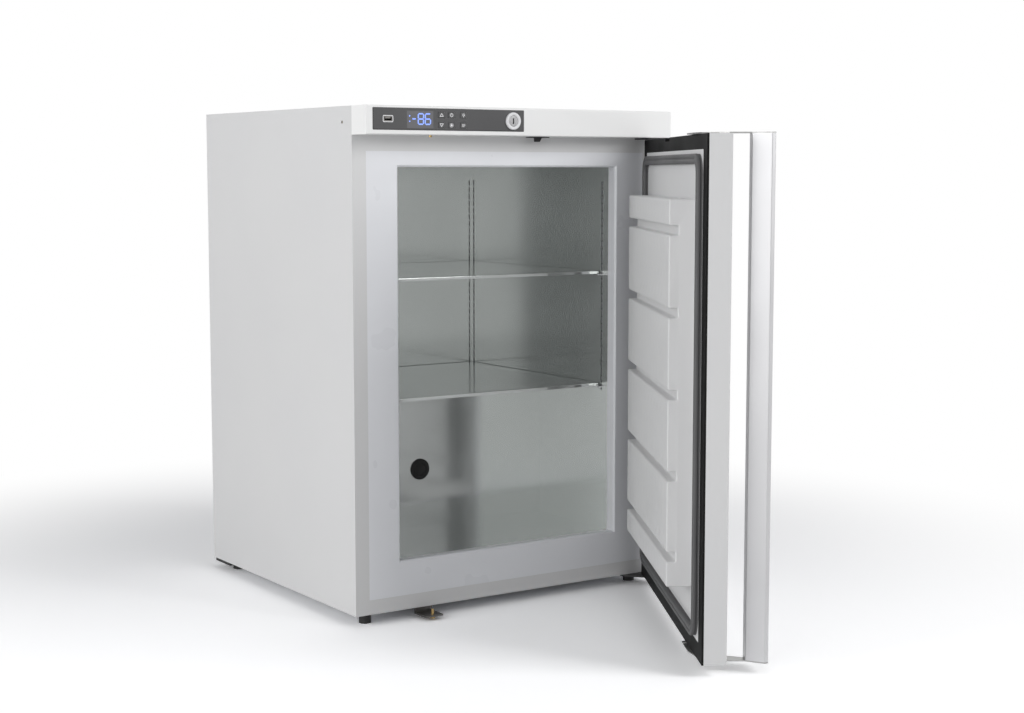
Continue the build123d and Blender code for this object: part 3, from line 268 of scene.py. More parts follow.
def door_placed(points):
    """Closed-door millimetres turned open: the flat part turns by the open angle about the hinge."""
    p = np.asarray(points, float).reshape(-1, 3).copy()
    flat = p[:, :2] - HINGE
    turn = np.array([[np.cos(OPEN), -np.sin(OPEN)], [np.sin(OPEN), np.cos(OPEN)]])
    p[:, :2] = flat @ turn.T + HINGE
    return placed(p)


def piece(name, points, faces, material, body, place=placed, replaces=(), smooth=True):
    """One finished piece: placed, given its material, and riding on its body."""
    made = mesh_object(name, place(points), faces, smooth)
    made.data.materials.append(material)
    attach(made, body)
    if replaces:
        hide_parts(*replaces)


def round_loop(left, right, low, high, radius, steps=8):
    """Closed rectangle with round corners: each corner's centre plus radius times (cos, sin)."""
    radius = max(radius, SMALLEST_RADIUS)
    quarter = np.linspace(0, pi / 2, steps + 1)
    turn = np.concatenate([quarter + k * pi / 2 for k in range(4)])
    centre_x = np.repeat([right - radius, left + radius, left + radius, right - radius], steps + 1)
    centre_z = np.repeat([high - radius, high - radius, low + radius, low + radius], steps + 1)
    return np.stack([centre_x + radius * np.cos(turn), centre_z + radius * np.sin(turn)], -1)


def loop_sweep(profile, bounds, radius, steps=8):
    """Profile of (inset, depth) pairs carried round a rounded rectangle: one loop for each pair."""
    left, right, low, high = bounds
    loops = []
    for inset, depth in profile:
        flat = round_loop(left + inset, right - inset, low + inset, high - inset, radius - inset, steps)
        loops.append(np.stack([flat[:, 0], np.full(len(flat), depth), flat[:, 1]], -1))
    return np.concatenate(loops), len(loops), len(loops[0])


def lathe(profile, centre, steps):
    """Profile of (radius, reach) pairs turned round an axis that runs from front to back: x is the
    radius times the sine, z the radius times the cosine and y the reach."""
    angle = np.linspace(0, 2 * pi, steps, endpoint=False)
    radius, reach = np.array(profile, float).T
    x = np.outer(radius, np.sin(angle))
    y = np.repeat(reach[:, None], steps, 1)
    z = np.outer(radius, np.cos(angle))
    points = np.stack([x, y, z], -1).reshape(-1, 3) + np.asarray(centre, float)
    return points, grid_faces(len(profile), steps, wrap_columns=True)


def stroke(points, width, closed=False):
    """Flat line of even width: each corner moved both ways along its mitre, half the width out."""
    p = np.asarray(points, float)
    before = np.roll(p, 1, 0)
    after = np.roll(p, -1, 0)
    first, last = p - before, after - p
    if not closed:
        first[0], last[-1] = last[0], first[-1]
    first /= np.linalg.norm(first, axis=1)[:, None]
    last /= np.linalg.norm(last, axis=1)[:, None]
    normal_a = np.stack([-first[:, 1], first[:, 0]], -1)
    normal_b = np.stack([-last[:, 1], last[:, 0]], -1)
    mitre = normal_a + normal_b
    mitre /= np.linalg.norm(mitre, axis=1)[:, None]
    reach = width / 2 / np.clip(np.sum(mitre * normal_a, 1), 0.4, 1)
    sides = [p - mitre * reach[:, None], p + mitre * reach[:, None]]
    flat = np.stack(sides, 1).reshape(-1, 2)
    return flat, grid_faces(len(p), 2, wrap_rows=closed)


def flat_group(shapes, y):
    """Several flat shapes in the x-z plane joined in one mesh at one depth."""
    points, faces, start = [], [], 0
    for flat, corners in shapes:
        points.append(np.stack([flat[:, 0], np.full(len(flat), y), flat[:, 1]], -1))
        faces += [[c + start for c in face] for face in corners]
        start += len(flat)
    return np.concatenate(points), faces


def circle(x, z, radius, steps=28):
    """Points on a circle: the middle plus the radius times (cos, sin)."""
    angle = np.linspace(0, 2 * pi, steps, endpoint=False)
    return np.stack([x + radius * np.cos(angle), z + radius * np.sin(angle)], -1)


def disc(x, z, radius):
    """Flat round spot: one face on a circle's points."""
    flat = circle(x, z, radius)
    return flat, [list(range(len(flat)))]


def ring_at(x, z, radius, width):
    """Flat ring: a closed line of even width along a circle."""
    return stroke(circle(x, z, radius), width, closed=True)


# Shared node groups for the finishes


def shader_group(name, inputs, outputs):
    """Empty group with its sockets; returns the tree, its input node and its output node."""
    tree = bpy.data.node_groups.new(name, "ShaderNodeTree")
    for label, kind, value in inputs:
        socket = tree.interface.new_socket(name=label, in_out="INPUT", socket_type=kind)
        if value is not None:
            socket.default_value = value
    for label, kind in outputs:
        tree.interface.new_socket(name=label, in_out="OUTPUT", socket_type=kind)
    return tree, tree.nodes.new("NodeGroupInput"), tree.nodes.new("NodeGroupOutput")


def noise_node(tree, vector, scale, detail):
    """Value of a soft noise on a vector, at a linked scale and a set detail."""
    noise = tree.nodes.new("ShaderNodeTexNoise")
    noise.inputs["Detail"].default_value = detail
    tree.links.new(vector, noise.inputs["Vector"])
    tree.links.new(scale, noise.inputs["Scale"])
    return noise.outputs["Fac"]


def tone_drift_group():
    """Slow drift between two close tones: a mix by soft noise."""
    tree, inner, outer = shader_group(
        "tone_drift",
        [
            ("Vector", "NodeSocketVector", None),
            ("First", "NodeSocketColor", (0.8, 0.8, 0.8, 1)),
            ("Second", "NodeSocketColor", (0.75, 0.75, 0.75, 1)),
            ("Scale", "NodeSocketFloat", 3.0),
        ],
        [("Colour", "NodeSocketColor")],
    )
    fac = noise_node(tree, inner.outputs["Vector"], inner.outputs["Scale"], 2.0)
    spread = tree.nodes.new("ShaderNodeMapRange")
    spread.inputs["From Min"].default_value = 0.3
    spread.inputs["From Max"].default_value = 0.7
    mix = tree.nodes.new("ShaderNodeMix")
    mix.data_type = "RGBA"
    tree.links.new(fac, spread.inputs["Value"])
    tree.links.new(spread.outputs["Result"], mix.inputs[0])
    tree.links.new(inner.outputs["First"], mix.inputs[6])
    tree.links.new(inner.outputs["Second"], mix.inputs[7])
    tree.links.new(mix.outputs[2], outer.inputs["Colour"])
    return tree


def gloss_drift_group():
    """Roughness that wanders between a low and a high value with soft noise."""
    tree, inner, outer = shader_group(
        "gloss_drift",
        [
            ("Vector", "NodeSocketVector", None),
            ("Low", "NodeSocketFloat", 0.3),
            ("High", "NodeSocketFloat", 0.4),
            ("Scale", "NodeSocketFloat", 6.0),
        ],
        [("Roughness", "NodeSocketFloat")],
    )
    fac = noise_node(tree, inner.outputs["Vector"], inner.outputs["Scale"], 3.0)
    spread = tree.nodes.new("ShaderNodeMapRange")
    spread.inputs["From Min"].default_value = 0.3
    spread.inputs["From Max"].default_value = 0.7
    tree.links.new(fac, spread.inputs["Value"])
    tree.links.new(inner.outputs["Low"], spread.inputs["To Min"])
    tree.links.new(inner.outputs["High"], spread.inputs["To Max"])
    tree.links.new(spread.outputs["Result"], outer.inputs["Roughness"])
    return tree


def orange_peel_group():
    """Sprayed paint's shallow dimples: two noises, the finer one a third as high."""
    tree, inner, outer = shader_group(
        "orange_peel",
        [("Vector", "NodeSocketVector", None), ("Scale", "NodeSocketFloat", 400.0)],
        [("Height", "NodeSocketFloat")],
    )
    coarse = noise_node(tree, inner.outputs["Vector"], inner.outputs["Scale"], 1.0)
    finer = tree.nodes.new("ShaderNodeMath")
    finer.operation = "MULTIPLY"
    finer.inputs[1].default_value = 2.7
    tree.links.new(inner.outputs["Scale"], finer.inputs[0])
    fine = noise_node(tree, inner.outputs["Vector"], finer.outputs[0], 2.0)
    add = tree.nodes.new("ShaderNodeMath")
    add.operation = "MULTIPLY_ADD"
    add.inputs[1].default_value = 0.33
    tree.links.new(fine, add.inputs[0])
    tree.links.new(coarse, add.inputs[2])
    tree.links.new(add.outputs[0], outer.inputs["Height"])
    return tree


def mould_grain_group():
    """Moulded plastic's pebbled grain: smooth cells softened by noise."""
    tree, inner, outer = shader_group(
        "mould_grain",
        [("Vector", "NodeSocketVector", None), ("Scale", "NodeSocketFloat", 900.0)],
        [("Height", "NodeSocketFloat")],
    )
    cells = tree.nodes.new("ShaderNodeTexVoronoi")
    cells.feature = "SMOOTH_F1"
    tree.links.new(inner.outputs["Vector"], cells.inputs["Vector"])
    tree.links.new(inner.outputs["Scale"], cells.inputs["Scale"])
    soft = noise_node(tree, inner.outputs["Vector"], inner.outputs["Scale"], 2.0)
    add = tree.nodes.new("ShaderNodeMath")
    add.operation = "MULTIPLY_ADD"
    add.inputs[1].default_value = 0.5
    tree.links.new(soft, add.inputs[0])
    tree.links.new(cells.outputs["Distance"], add.inputs[2])
    tree.links.new(add.outputs[0], outer.inputs["Height"])
    return tree


def brushing_group():
    """Long fine streaks of rolled or brushed metal: noise on a vector that the material stretches."""
    tree, inner, outer = shader_group(
        "brushing",
        [("Vector", "NodeSocketVector", None), ("Scale", "NodeSocketFloat", 60.0)],
        [("Height", "NodeSocketFloat")],
    )
    fine = noise_node(tree, inner.outputs["Vector"], inner.outputs["Scale"], 6.0)
    tree.links.new(fine, outer.inputs["Height"])
    return tree


TONE_DRIFT = tone_drift_group()
GLOSS_DRIFT = gloss_drift_group()
ORANGE_PEEL = orange_peel_group()
MOULD_GRAIN = mould_grain_group()
BRUSHING = brushing_group()


def use_group(tree, group, **values):
    """Place a group in a material with its own values."""
    node = tree.nodes.new("ShaderNodeGroup")
    node.node_tree = group
    for label, value in values.items():
        node.inputs[label].default_value = value
    return node


def finish(name, first, second, rough, drift=4.0, texture=None, scale=400.0, stretch=(1, 1, 1),
           bump=0.1, depth=0.0002, metallic=0.0, **sockets):
    """Material of one finish: two close tones, a wandering roughness and a fine surface texture."""
    material = bpy.data.materials.new(name)
    material.use_nodes = True
    tree = material.node_tree
    shader = tree.nodes["Principled BSDF"]
    shader.inputs["Metallic"].default_value = metallic
    where = tree.nodes.new("ShaderNodeTexCoord").outputs["Object"]
    tone = use_group(tree, TONE_DRIFT, First=(*first, 1), Second=(*second, 1), Scale=drift)
    gloss = use_group(tree, GLOSS_DRIFT, Low=rough[0], High=rough[1], Scale=2.3 * drift)
    tree.links.new(where, tone.inputs["Vector"])
    tree.links.new(where, gloss.inputs["Vector"])
    tree.links.new(tone.outputs["Colour"], shader.inputs["Base Color"])
    tree.links.new(gloss.outputs["Roughness"], shader.inputs["Roughness"])
    if texture:
        mapping = tree.nodes.new("ShaderNodeMapping")
        mapping.inputs["Scale"].default_value = stretch
        relief = use_group(tree, texture, Scale=scale)
        lift = tree.nodes.new("ShaderNodeBump")
        lift.inputs["Strength"].default_value = bump
        lift.inputs["Distance"].default_value = depth
        tree.links.new(where, mapping.inputs["Vector"])
        tree.links.new(mapping.outputs[0], relief.inputs["Vector"])
        tree.links.new(relief.outputs["Height"], lift.inputs["Height"])
        tree.links.new(lift.outputs[0], shader.inputs["Normal"])
    for label, value in sockets.items():
        shader.inputs[label.replace("_", " ")].default_value = value
    return material


WHITE_PAINT = finish("white_powder_coat", (0.71, 0.71, 0.71), (0.695, 0.695, 0.70), (0.34, 0.42),
                     texture=ORANGE_PEEL, scale=420.0, bump=0.12)
FASCIA_WHITE = finish("fascia_white", (0.90, 0.90, 0.895), (0.885, 0.885, 0.88), (0.3, 0.38),
                      texture=MOULD_GRAIN, scale=1400.0, bump=0.06)
FRAME_PLASTIC = finish("pale_frame_plastic", (0.83, 0.84, 0.87), (0.81, 0.82, 0.85), (0.26, 0.34),
                       texture=MOULD_GRAIN, scale=1100.0, bump=0.05)
BLOCK_PLASTIC = finish("vacuum_formed_white", (0.76, 0.76, 0.76), (0.745, 0.745, 0.75), (0.36, 0.46),
                       texture=MOULD_GRAIN, scale=800.0, bump=0.08)
STAINLESS = finish("bright_stainless", (0.66, 0.68, 0.67), (0.63, 0.65, 0.64), (0.10, 0.14),
                   texture=BRUSHING, scale=30.0, stretch=(1, 1, 22), bump=0.03, depth=0.0001, metallic=0.75)
ZINC = finish("zinc_sheet", (0.50, 0.51, 0.52), (0.42, 0.43, 0.45), (0.3, 0.5), drift=40.0,
              texture=MOULD_GRAIN, scale=90.0, bump=0.05, metallic=1.0)
BLACK_PAINT = finish("black_paint", (0.014, 0.014, 0.015), (0.02, 0.02, 0.021), (0.35, 0.5),
                     texture=ORANGE_PEEL, scale=700.0, bump=0.15)
BLACK_PLASTIC = finish("black_frame_plastic", (0.004, 0.004, 0.004), (0.006, 0.006, 0.006), (0.55, 0.65),
                       texture=MOULD_GRAIN, scale=1200.0, bump=0.12, Specular_IOR_Level=0.12)
GASKET = finish("gasket_rubber", (0.11, 0.11, 0.112), (0.09, 0.09, 0.092), (0.5, 0.62),
                texture=MOULD_GRAIN, scale=1500.0, bump=0.08)
RUBBER = finish("black_rubber", (0.012, 0.012, 0.012), (0.02, 0.02, 0.02), (0.6, 0.75),
                texture=MOULD_GRAIN, scale=1300.0, bump=0.15)
FOAM = finish("blown_foam", (0.62, 0.52, 0.30), (0.55, 0.45, 0.25), (0.85, 0.95), drift=60.0,
              texture=MOULD_GRAIN, scale=600.0, bump=0.4, depth=0.0006)
FILM = finish("control_film", (0.052, 0.052, 0.054), (0.047, 0.047, 0.05), (0.42, 0.5),
              texture=MOULD_GRAIN, scale=2200.0, bump=0.05)
KEY_FILM = finish("key_film", (0.055, 0.055, 0.057), (0.05, 0.05, 0.053), (0.4, 0.48),
                  texture=MOULD_GRAIN, scale=2200.0, bump=0.05)
# Painted shade: a near-black colour standing in for the shadow along the film's left and lower edge
FILM_EDGE_SHADE = finish("painted_shade_film_edge", (0.008, 0.008, 0.009), (0.012, 0.012, 0.013), (0.4, 0.5),
                   texture=MOULD_GRAIN, scale=2200.0, bump=0.05)
LENS = finish("display_lens", (0.13, 0.13, 0.14), (0.12, 0.12, 0.13), (0.12, 0.2),
              texture=ORANGE_PEEL, scale=900.0, bump=0.03, Coat_Weight=0.4)
PRINT = finish("white_print", (0.85, 0.85, 0.86), (0.8, 0.8, 0.82), (0.4, 0.5),
               texture=MOULD_GRAIN, scale=2500.0, bump=0.05)
BOARD = finish("circuit_board", (0.02, 0.14, 0.06), (0.015, 0.11, 0.05), (0.35, 0.5), drift=90.0,
               texture=MOULD_GRAIN, scale=900.0, bump=0.1)
STEEL = finish("bright_steel", (0.56, 0.56, 0.57), (0.50, 0.50, 0.51), (0.2, 0.32), drift=30.0,
               texture=BRUSHING, scale=200.0, stretch=(1, 1, 6), bump=0.05, metallic=1.0)
BRASS = finish("brass", (0.50, 0.36, 0.16), (0.38, 0.27, 0.12), (0.22, 0.38), drift=120.0,
               texture=BRUSHING, scale=400.0, stretch=(1, 1, 5), bump=0.08, metallic=1.0)
PLATE_STEEL = finish("plate_steel", (0.42, 0.42, 0.415), (0.34, 0.34, 0.335), (0.3, 0.42), drift=40.0,
                     texture=BRUSHING, scale=150.0, stretch=(1, 1, 1), bump=0.06, metallic=0.9)
LOCK_STEEL = finish("lock_steel", (0.30, 0.30, 0.305), (0.25, 0.25, 0.255), (0.25, 0.36), drift=150.0,
                    texture=BRUSHING, scale=600.0, stretch=(1, 1, 3), bump=0.06, metallic=1.0)
DARK_STEEL = finish("dark_steel", (0.16, 0.155, 0.15), (0.12, 0.115, 0.11), (0.35, 0.5), drift=80.0,
                    texture=MOULD_GRAIN, scale=900.0, bump=0.1, metallic=1.0)
GRIP = finish("satin_aluminium", (0.56, 0.56, 0.57), (0.53, 0.53, 0.54), (0.34, 0.42), drift=6.0,
              texture=BRUSHING, scale=160.0, stretch=(6, 6, 0.2), bump=0.05, metallic=0.75)
FINS = finish("fin_aluminium", (0.55, 0.56, 0.57), (0.45, 0.46, 0.47), (0.35, 0.5), drift=50.0,
              texture=BRUSHING, scale=120.0, stretch=(1, 1, 5), bump=0.08, metallic=1.0)
COPPER = finish("copper_tube", (0.55, 0.26, 0.14), (0.42, 0.19, 0.10), (0.25, 0.42), drift=60.0,
                texture=BRUSHING, scale=300.0, stretch=(1, 5, 1), bump=0.08, metallic=1.0)


def glowing(name, colour):
    """Lit segments of the display: pale light that varies a little along the segment."""
    material = finish(name, colour, tuple(0.92 * c for c in colour), (0.3, 0.4), drift=300.0,
                      texture=MOULD_GRAIN, scale=2500.0, bump=0.02, Emission_Strength=0.75)
    tree = material.node_tree
    tone = next(n for n in tree.nodes if n.type == "GROUP" and n.node_tree == TONE_DRIFT)
    tree.links.new(tone.outputs["Colour"], tree.nodes["Principled BSDF"].inputs["Emission Color"])
    return material


SEGMENT_LIGHT = glowing("display_segments", (0.22, 0.34, 0.95))

NODE_FINISH = {
    "side_panel_left": WHITE_PAINT,
    "side_panel_right": WHITE_PAINT,
    "top_panel": WHITE_PAINT,
    "base_pan": ZINC,
    "back_panel": WHITE_PAINT,
    "service_panel": WHITE_PAINT,
    "front_rails": WHITE_PAINT,
    "feet": RUBBER,
    "breaker_frame": FRAME_PLASTIC,
    "liner_side_walls": STAINLESS,
    "liner_ceiling": STAINLESS,
    "liner_back": STAINLESS,
    "liner_hump": STAINLESS,
    "liner_floor": STAINLESS,
    "pilaster_channels": ZINC,
    "insulation": FOAM,
    "port_tube": BLACK_PLASTIC,
    "port_plug": RUBBER,
    "shelf_upper": STAINLESS,
    "shelf_lower": STAINLESS,
    "shelf_clips": STEEL,
    "bay_wall": ZINC,
    "fascia": FASCIA_WHITE,
    "control_overlay": FILM,
    "display_window": LENS,
    "controller_board": BOARD,
    "usb_socket": DARK_STEEL,
    "lock_ring": PRINT,
    "lock_barrel": LOCK_STEEL,
    "lock_bar": BLACK_PAINT,
    "catch_bracket": DARK_STEEL,
    "catch_pins": BRASS,
    "hinge_plates": BLACK_PAINT,
    "hinge_pins": STEEL,
    "compressors": BLACK_PAINT,
    "compressor_mounts": RUBBER,
    "condenser_fins": FINS,
    "condenser_coil": FINS,
    "refrigerant_lines": COPPER,
    "fan": BLACK_PLASTIC,
    "fan_shroud": BLACK_PAINT,
    "fan_motor": DARK_STEEL,
    "power_inlet": BLACK_PLASTIC,
    "door_skin": WHITE_PAINT,
    "door_foam": FOAM,
    "door_frame": BLACK_PLASTIC,
    "door_inner_plate": BLOCK_PLASTIC,
    "door_gasket": GASKET,
    "door_block": BLOCK_PLASTIC,
    "door_bushes": BLACK_PLASTIC,
    "lock_keeper": BLACK_PLASTIC,
    "handle_grip": GRIP,
    "latch_plates": PLATE_STEEL,
    "latch_pivots": STEEL,
}
NODE_FINISH.update({f"key_{n}": KEY_FILM for n in range(1, 7)})


def dress_nodes():
    """Give every CAD node its finish."""
    for name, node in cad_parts.items():
        for spot in node.material_slots:
            spot.material = NODE_FINISH[name]


# Door: gasket and insulating block


def door_gasket():
    """Magnetic gasket: a profile of (inset, depth) pairs swept round the door. It has a folded
    bellows foot on the door's back, two lips and a shallow valley between them."""
    profile = [
        (0.4, DOOR_BACK), (0.4, -7.0), (1.4, -6.4), (1.4, -5.8), (0.0, -5.0), (0.0, -2.0), (0.7, -0.9),
        (2.0, -0.42), (5.0, -0.42), (6.0, -0.9), (6.6, -1.7), (8.4, -1.7), (9.0, -0.9), (10.0, -0.42),
        (13.0, -0.42), (14.3, -0.9), (15.0, -2.0), (15.0, -5.0), (13.6, -5.8), (13.6, -6.4),
        (14.6, -7.0), (14.6, DOOR_BACK),
    ]
    points, rows, columns = loop_sweep(profile, GASKET_BOUNDS, GASKET_CORNER, steps=10)
    faces = grid_faces(rows, columns, wrap_rows=True, wrap_columns=True)
    piece("gasket_profile", points, faces, GASKET, "door", door_placed, ["door_gasket"])


def pad_levels():
    """Low and high edge of each pad, from the bottom up: a first pad, then for each notch its
    height and the pad above it, the last of which ends at the block's top."""
    levels = [BLOCK_LOW, FIRST_PAD_TOP]
    for _ in range(NOTCHES - 1):
        pad_low = levels[-1] + NOTCH_HEIGHT
        levels += [pad_low, pad_low + PAD_HEIGHT]
    return levels + [levels[-1] + NOTCH_HEIGHT, BLOCK_HIGH]


BLOCK_LEVELS = pad_levels()


def rounded_path(corners, radii, steps=4, spacing=3.2):
    """Line through square corners: each becomes a quarter circle, its centre less the radius times
    (cos, sin) along the two runs, and the straight runs between them are divided evenly."""
    corners = np.asarray(corners, float)
    line = [corners[:1]]
    for before, here, after, radius in zip(corners[:-2], corners[1:-1], corners[2:], radii):
        a = (before - here) / np.linalg.norm(before - here)
        b = (after - here) / np.linalg.norm(after - here)
        centre = here + radius * (a + b)
        turn = np.linspace(0, pi / 2, steps + 1)[:, None]
        arc = centre - radius * (b * np.cos(turn) + a * np.sin(turn))
        start = line[-1][-1]
        count = max(1, int(np.linalg.norm(arc[0] - start) / spacing))
        share = np.linspace(0, 1, count + 1)[1:, None]
        line.append(start + (arc[0] - start) * share)
        line.append(arc[1:])
    line.append(corners[-1:])
    return np.concatenate(line)


def block_outline():
    """Side view of the block, as (depth, height) points: pads that reach the front and notches
    between them, with the edges of both rounded."""
    corners, radii = [(DOOR_BACK, BLOCK_LEVELS[0])], []
    for k in range(0, len(BLOCK_LEVELS), 2):
        low, high = BLOCK_LEVELS[k], BLOCK_LEVELS[k + 1]
        corners += [(BLOCK_FRONT, low), (BLOCK_FRONT, high)]
        radii += [PAD_EDGE_RADIUS, PAD_EDGE_RADIUS]
        if k + 2 < len(BLOCK_LEVELS):
            corners += [(BLOCK_FLOOR, high), (BLOCK_FLOOR, BLOCK_LEVELS[k + 2])]
            radii += [NOTCH_EDGE_RADIUS, NOTCH_EDGE_RADIUS]
    corners.append((DOOR_BACK, BLOCK_LEVELS[-1]))
    return rounded_path(corners, radii)


def block_stations():
    """Places across the door, as (x, inset) pairs: the inset is a quarter circle at each end and
    nothing between them."""
    left, right = BLOCK_SIDES
    radius = BLOCK_END_RADIUS
    turn = np.linspace(0, pi / 2, 5)
    near = np.stack([left + radius * (1 - np.sin(turn)), radius * (1 - np.cos(turn))], -1)[::-1]
    straight = np.linspace(left + radius, right - radius, BLOCK_STATIONS)[1:-1]
    middle = np.stack([straight, np.zeros(len(straight))], -1)
    far = np.stack([left + right - near[::-1, 0], near[::-1, 1]], -1)
    return np.concatenate([near, middle, far])


def dimples(x, z):
    """Bell of half of one plus the cosine, 1 at each dimple's middle and 0 at its rim, in even
    columns across the block and even rows on each pad."""
    left, right = BLOCK_SIDES
    pitch = (right - left) / DIMPLE_COLUMNS
    dx = (x - left) % pitch - pitch / 2
    bell = np.zeros_like(x)
    for k in range(0, len(BLOCK_LEVELS), 2):
        low, high = BLOCK_LEVELS[k], BLOCK_LEVELS[k + 1]
        rows = max(1, round((high - low) / DIMPLE_ROW_PITCH))
        step = (high - low) / rows
        dz = (z - low) % step - step / 2
        inside = (z > low) & (z < high)
        reach = np.clip(np.hypot(dx, dz) / DIMPLE_RADIUS, 0, 1)
        bell += inside * (0.5 + 0.5 * np.cos(pi * reach))
    return bell


def door_block():
    """Vacuum-formed block: the side view carried across the door and moved in along its normals by
    each station's inset, with shallow dimples pressed into what lies within 0.3 mm of the front."""
    line = block_outline()
    ahead = np.gradient(line, axis=0)
    normal = np.stack([ahead[:, 1], -ahead[:, 0]], -1)
    normal /= np.linalg.norm(normal, axis=1)[:, None]
    normal[[0, -1]] = (0, -1), (0, 1)
    stations = block_stations()
    inset = stations[:, 1][:, None]
    x = np.repeat(stations[:, 0][:, None], len(line), 1)
    y = line[:, 0] - inset * normal[:, 0]
    z = line[:, 1] - inset * normal[:, 1]
    y -= DIMPLE_DEPTH * dimples(x, z) * (y > BLOCK_FRONT - 0.3)
    points = np.stack([x, y, z], -1).reshape(-1, 3)
    columns = len(line)
    faces = grid_faces(len(stations), columns)
    for first in range(0, (len(stations) - 1) * columns, columns):
        after = first + columns
        faces.append([after, after + columns - 1, first + columns - 1, first])
    last = (len(stations) - 1) * columns
    faces += [list(range(columns))[::-1], list(range(last, last + columns))]
    piece(
        "insulating_block", points, faces, BLOCK_PLASTIC, "door", door_placed, ["door_block"],
    )


# Control panel


def segment_bar(start, end):
    """Six-cornered bar between two ends, half a segment's width to each side of the line between
    them, with pointed ends that stop short of the next segment."""
    gap, half_width = 0.35, SEGMENT_WIDTH / 2
    start, end = np.array(start, float), np.array(end, float)
    way = (end - start) / np.linalg.norm(end - start)
    side = np.array([-way[1], way[0]]) * half_width
    start, end = start + way * gap, end - way * gap
    first, second = start + way * half_width, end - way * half_width
    return np.array([start, first + side, second + side, end, second - side, first - side])


def segment_digit(x, width, lit, lean=0.02):
    """Seven-segment digit: a bar for each lit segment, with x growing by the lean times the height."""
    height, half = DIGIT_HEIGHT, DIGIT_HEIGHT / 2
    spots = {
        "a": ((0, height), (width, height)),
        "b": ((width, half), (width, height)),
        "c": ((width, 0), (width, half)),
        "d": ((0, 0), (width, 0)),
        "e": ((0, 0), (0, half)),
        "f": ((0, half), (0, height)),
        "g": ((0, half), (width, half)),
    }
    shapes = []
    for label in lit:
        flat = segment_bar(*spots[label])
        flat[:, 0] += lean * flat[:, 1]
        shapes.append((flat + (x, DIGIT_LOW), [list(range(6))]))
    return shapes


def display_reading():
    """Minus eighty-six in lit segments, with two small dots before it."""
    minus_x, minus_width = 81.6, 7.7
    tens_x, ones_x = 93.0, 105.9
    dots_x, dot_radius = 77.6, 1.2
    shapes = segment_digit(minus_x, minus_width, "g")
    shapes += segment_digit(tens_x, DIGIT_WIDTH, "abcdefg")
    shapes += segment_digit(ones_x, DIGIT_WIDTH, "acdefg")
    shapes += [disc(dots_x, dot_z, dot_radius) for dot_z in (797.2, 788.7)]
    points, faces = flat_group(shapes, PANEL_Y - DIGIT_LIFT)
    piece("display_reading", points, faces, SEGMENT_LIGHT, "cabinet", smooth=False)


def arrow_symbol(x, z, way):
    """Outline of a triangle that points up where the way is 1, and down where it is -1."""
    corners = np.array([(-3.0, -2.2), (3.0, -2.2), (0.0, 2.4)])
    return [stroke(corners * (1, way) + (x, z), 0.95, closed=True)]


def lines_symbol(x, z):
    """Three lines one above the other, the lowest one shorter at its right end."""
    reach, pitch, short = 3.2, 1.8, 1.6
    ends = ((-pitch, reach - short), (0.0, reach), (pitch, reach))
    return [stroke([(x - reach, z + up), (x + right, z + up)], 0.75) for up, right in ends]


def lamp_symbol(x, z):
    """Lamp: a ring for the bulb, a short foot under it and six rays round it."""
    middle = np.array([x, z + 0.5])
    shapes = [ring_at(*middle, 1.5, 0.8), stroke([(x - 0.9, z - 2.4), (x + 0.9, z - 2.4)], 0.9)]
    for turn in np.radians([-25, 25, 65, 115, 155, 205]):
        way = np.array([np.cos(turn), np.sin(turn)])
        shapes.append(stroke([middle + 2.4 * way, middle + 3.4 * way], 0.5))
    return shapes


def key_symbols():
    """Printed symbols on the six keys: two arrows, a spot in a ring, lines, a switch and a lamp."""
    low, high = KEY_ROWS
    left, centre, right = KEY_COLUMNS
    symbols = {
        1: arrow_symbol(left, low, -1),
        2: [disc(centre, low, 1.9), ring_at(centre, low, 3.0, 0.5)],
        3: lines_symbol(right, low),
        4: arrow_symbol(left, high, 1),
        5: [ring_at(centre, high, 2.6, 0.9), stroke([(centre, high), (centre, high + 3.4)], 0.9)],
        6: lamp_symbol(right, high),
    }
    for number, shapes in symbols.items():
        points, faces = flat_group(shapes, PANEL_Y - KEY_LIFT)
        piece(f"key_{number}_symbol", points, faces, PRINT, f"key_{number}", smooth=False)


def panel_print_and_edge_shade():
    """White frame round the data socket, and painted shade: a near-black line along the film's left and
    lower edge, where the film's raised edge casts its shadow.
    """
    socket = round_loop(*SOCKET_BOUNDS, SOCKET_CORNER, steps=4)
    points, faces = flat_group([stroke(socket, 1.1, closed=True)], PANEL_Y - OUTLINE_LIFT)
    piece("socket_outline", points, faces, PRINT, "cabinet", smooth=False)
    # Painted shadow: a dark stroke on the film's left and lower edge only, where its edge throws shade
    film_left, film_right, film_low, film_high = 12.3, 293.0, 775.9, 809.0
    edge = [(film_left, film_high), (film_left, film_low), (film_right, film_low)]
    points, faces = flat_group([stroke(edge, 1.4)], PANEL_Y - FILM_SHADE_LIFT)
    piece("film_edge_painted_shadow", points, faces, FILM_EDGE_SHADE, "cabinet", smooth=False)


def lock_bezel():
    """Round bezel, a profile of (radius, depth) pairs turned round the lock: a rounded shoulder
    that falls to a dished face round the cylinder."""
    profile = [
        (14.0, -46.0), (14.0, -48.4), (13.7, -49.3), (13.0, -49.8), (12.0, -50.0), (11.0, -49.9),
        (10.2, -49.5), (9.4, -48.9), (9.1, -48.5), (9.1, -46.2),
    ]
    points, faces = lathe(profile, LOCK_CENTRE, 64)
    piece("lock_bezel", points, faces, PRINT, "cabinet", replaces=["lock_ring"])


# Chamber


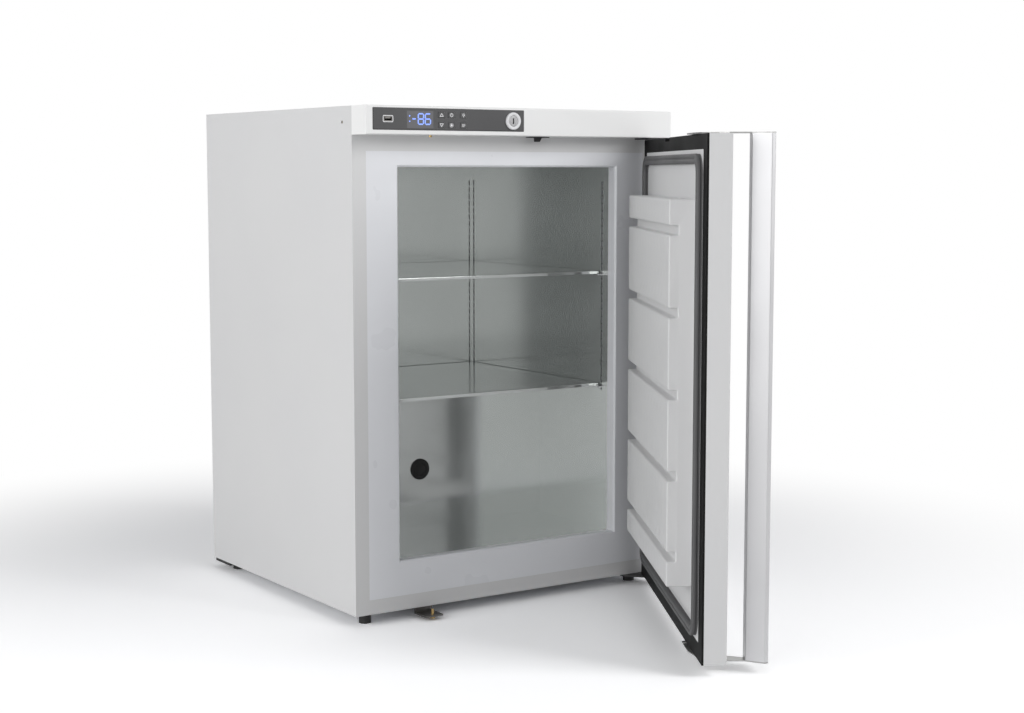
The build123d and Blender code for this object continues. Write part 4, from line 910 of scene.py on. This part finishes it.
def shelf_tray(node, top):
    """Sheet shelf: a profile of (inset, height) pairs swept round its edge. Outside it is a lip and
    a quarter-circle fold up to the top, inside it is the lip's back and the flat underside."""
    bounds = (CHAMBER_LEFT + SHELF_CLEARANCE, CHAMBER_RIGHT - SHELF_CLEARANCE, SHELF_NEAR, SHELF_FAR)
    fold = SHELF_FOLD
    turn = np.linspace(0, pi / 2, 5)
    outer = [(0.0, top - SHELF_LIP)]
    outer += [(fold * (1 - np.cos(t)), top - fold + fold * np.sin(t)) for t in turn]
    inner = [(1.2, top - SHELF_LIP), (1.2, top - 1.4), (2.4, top - 1.2)]
    points, rows, columns = loop_sweep(outer, bounds, SHELF_CORNER, steps=4)
    under, more, _ = loop_sweep(inner, bounds, SHELF_CORNER, steps=4)
    points = np.concatenate([points, under])[:, [0, 2, 1]]
    faces = [face[::-1] for face in grid_faces(rows, columns, wrap_columns=True)]
    start = rows * columns
    faces += grid_faces(more, columns, wrap_columns=True, start=start)
    last = (rows - 1) * columns
    faces.append(list(range(last, last + columns)))
    low = start + (more - 1) * columns
    faces.append(list(range(low, low + columns))[::-1])
    faces += [[start + i, start + (i + 1) % columns, (i + 1) % columns, i] for i in range(columns)]
    piece(f"{node}_tray", points, faces, STAINLESS, node, replaces=[node])


def port_stopper():
    """Rubber stopper, a profile of (radius, depth) pairs turned round the port: a thin flange with
    a dished face and a tapered plug behind it."""
    profile = [
        (0.01, -1.2), (9.4, -1.2), (10.9, -1.6), (11.8, -2.8), (13.0, -2.95), (17.2, -2.95),
        (18.3, -2.5), (18.65, -1.6), (18.5, -0.1), (15.7, -0.05), (15.5, 0.5), (15.3, 12.0),
        (14.1, 44.0), (13.0, 44.9), (0.01, 44.9),
    ]
    points, faces = lathe(profile, PORT_CENTRE, 72)
    faces = [face[::-1] for face in faces]
    piece("port_stopper", points, faces, RUBBER, "port_plug", replaces=["port_plug"])


add_camera()
add_world()
add_floor()
for lamp_name, (lamp_place, lamp_power) in LAMPS.items():
    soft_light(lamp_name, lamp_place, lamp_power)
dress_nodes()
door_gasket()
door_block()
display_reading()
key_symbols()
panel_print_and_edge_shade()
lock_bezel()
for shelf_node, shelf_top in SHELF_TOPS.items():
    shelf_tray(shelf_node, shelf_top)
port_stopper()

bpy.context.scene.view_settings.view_transform = "Standard"
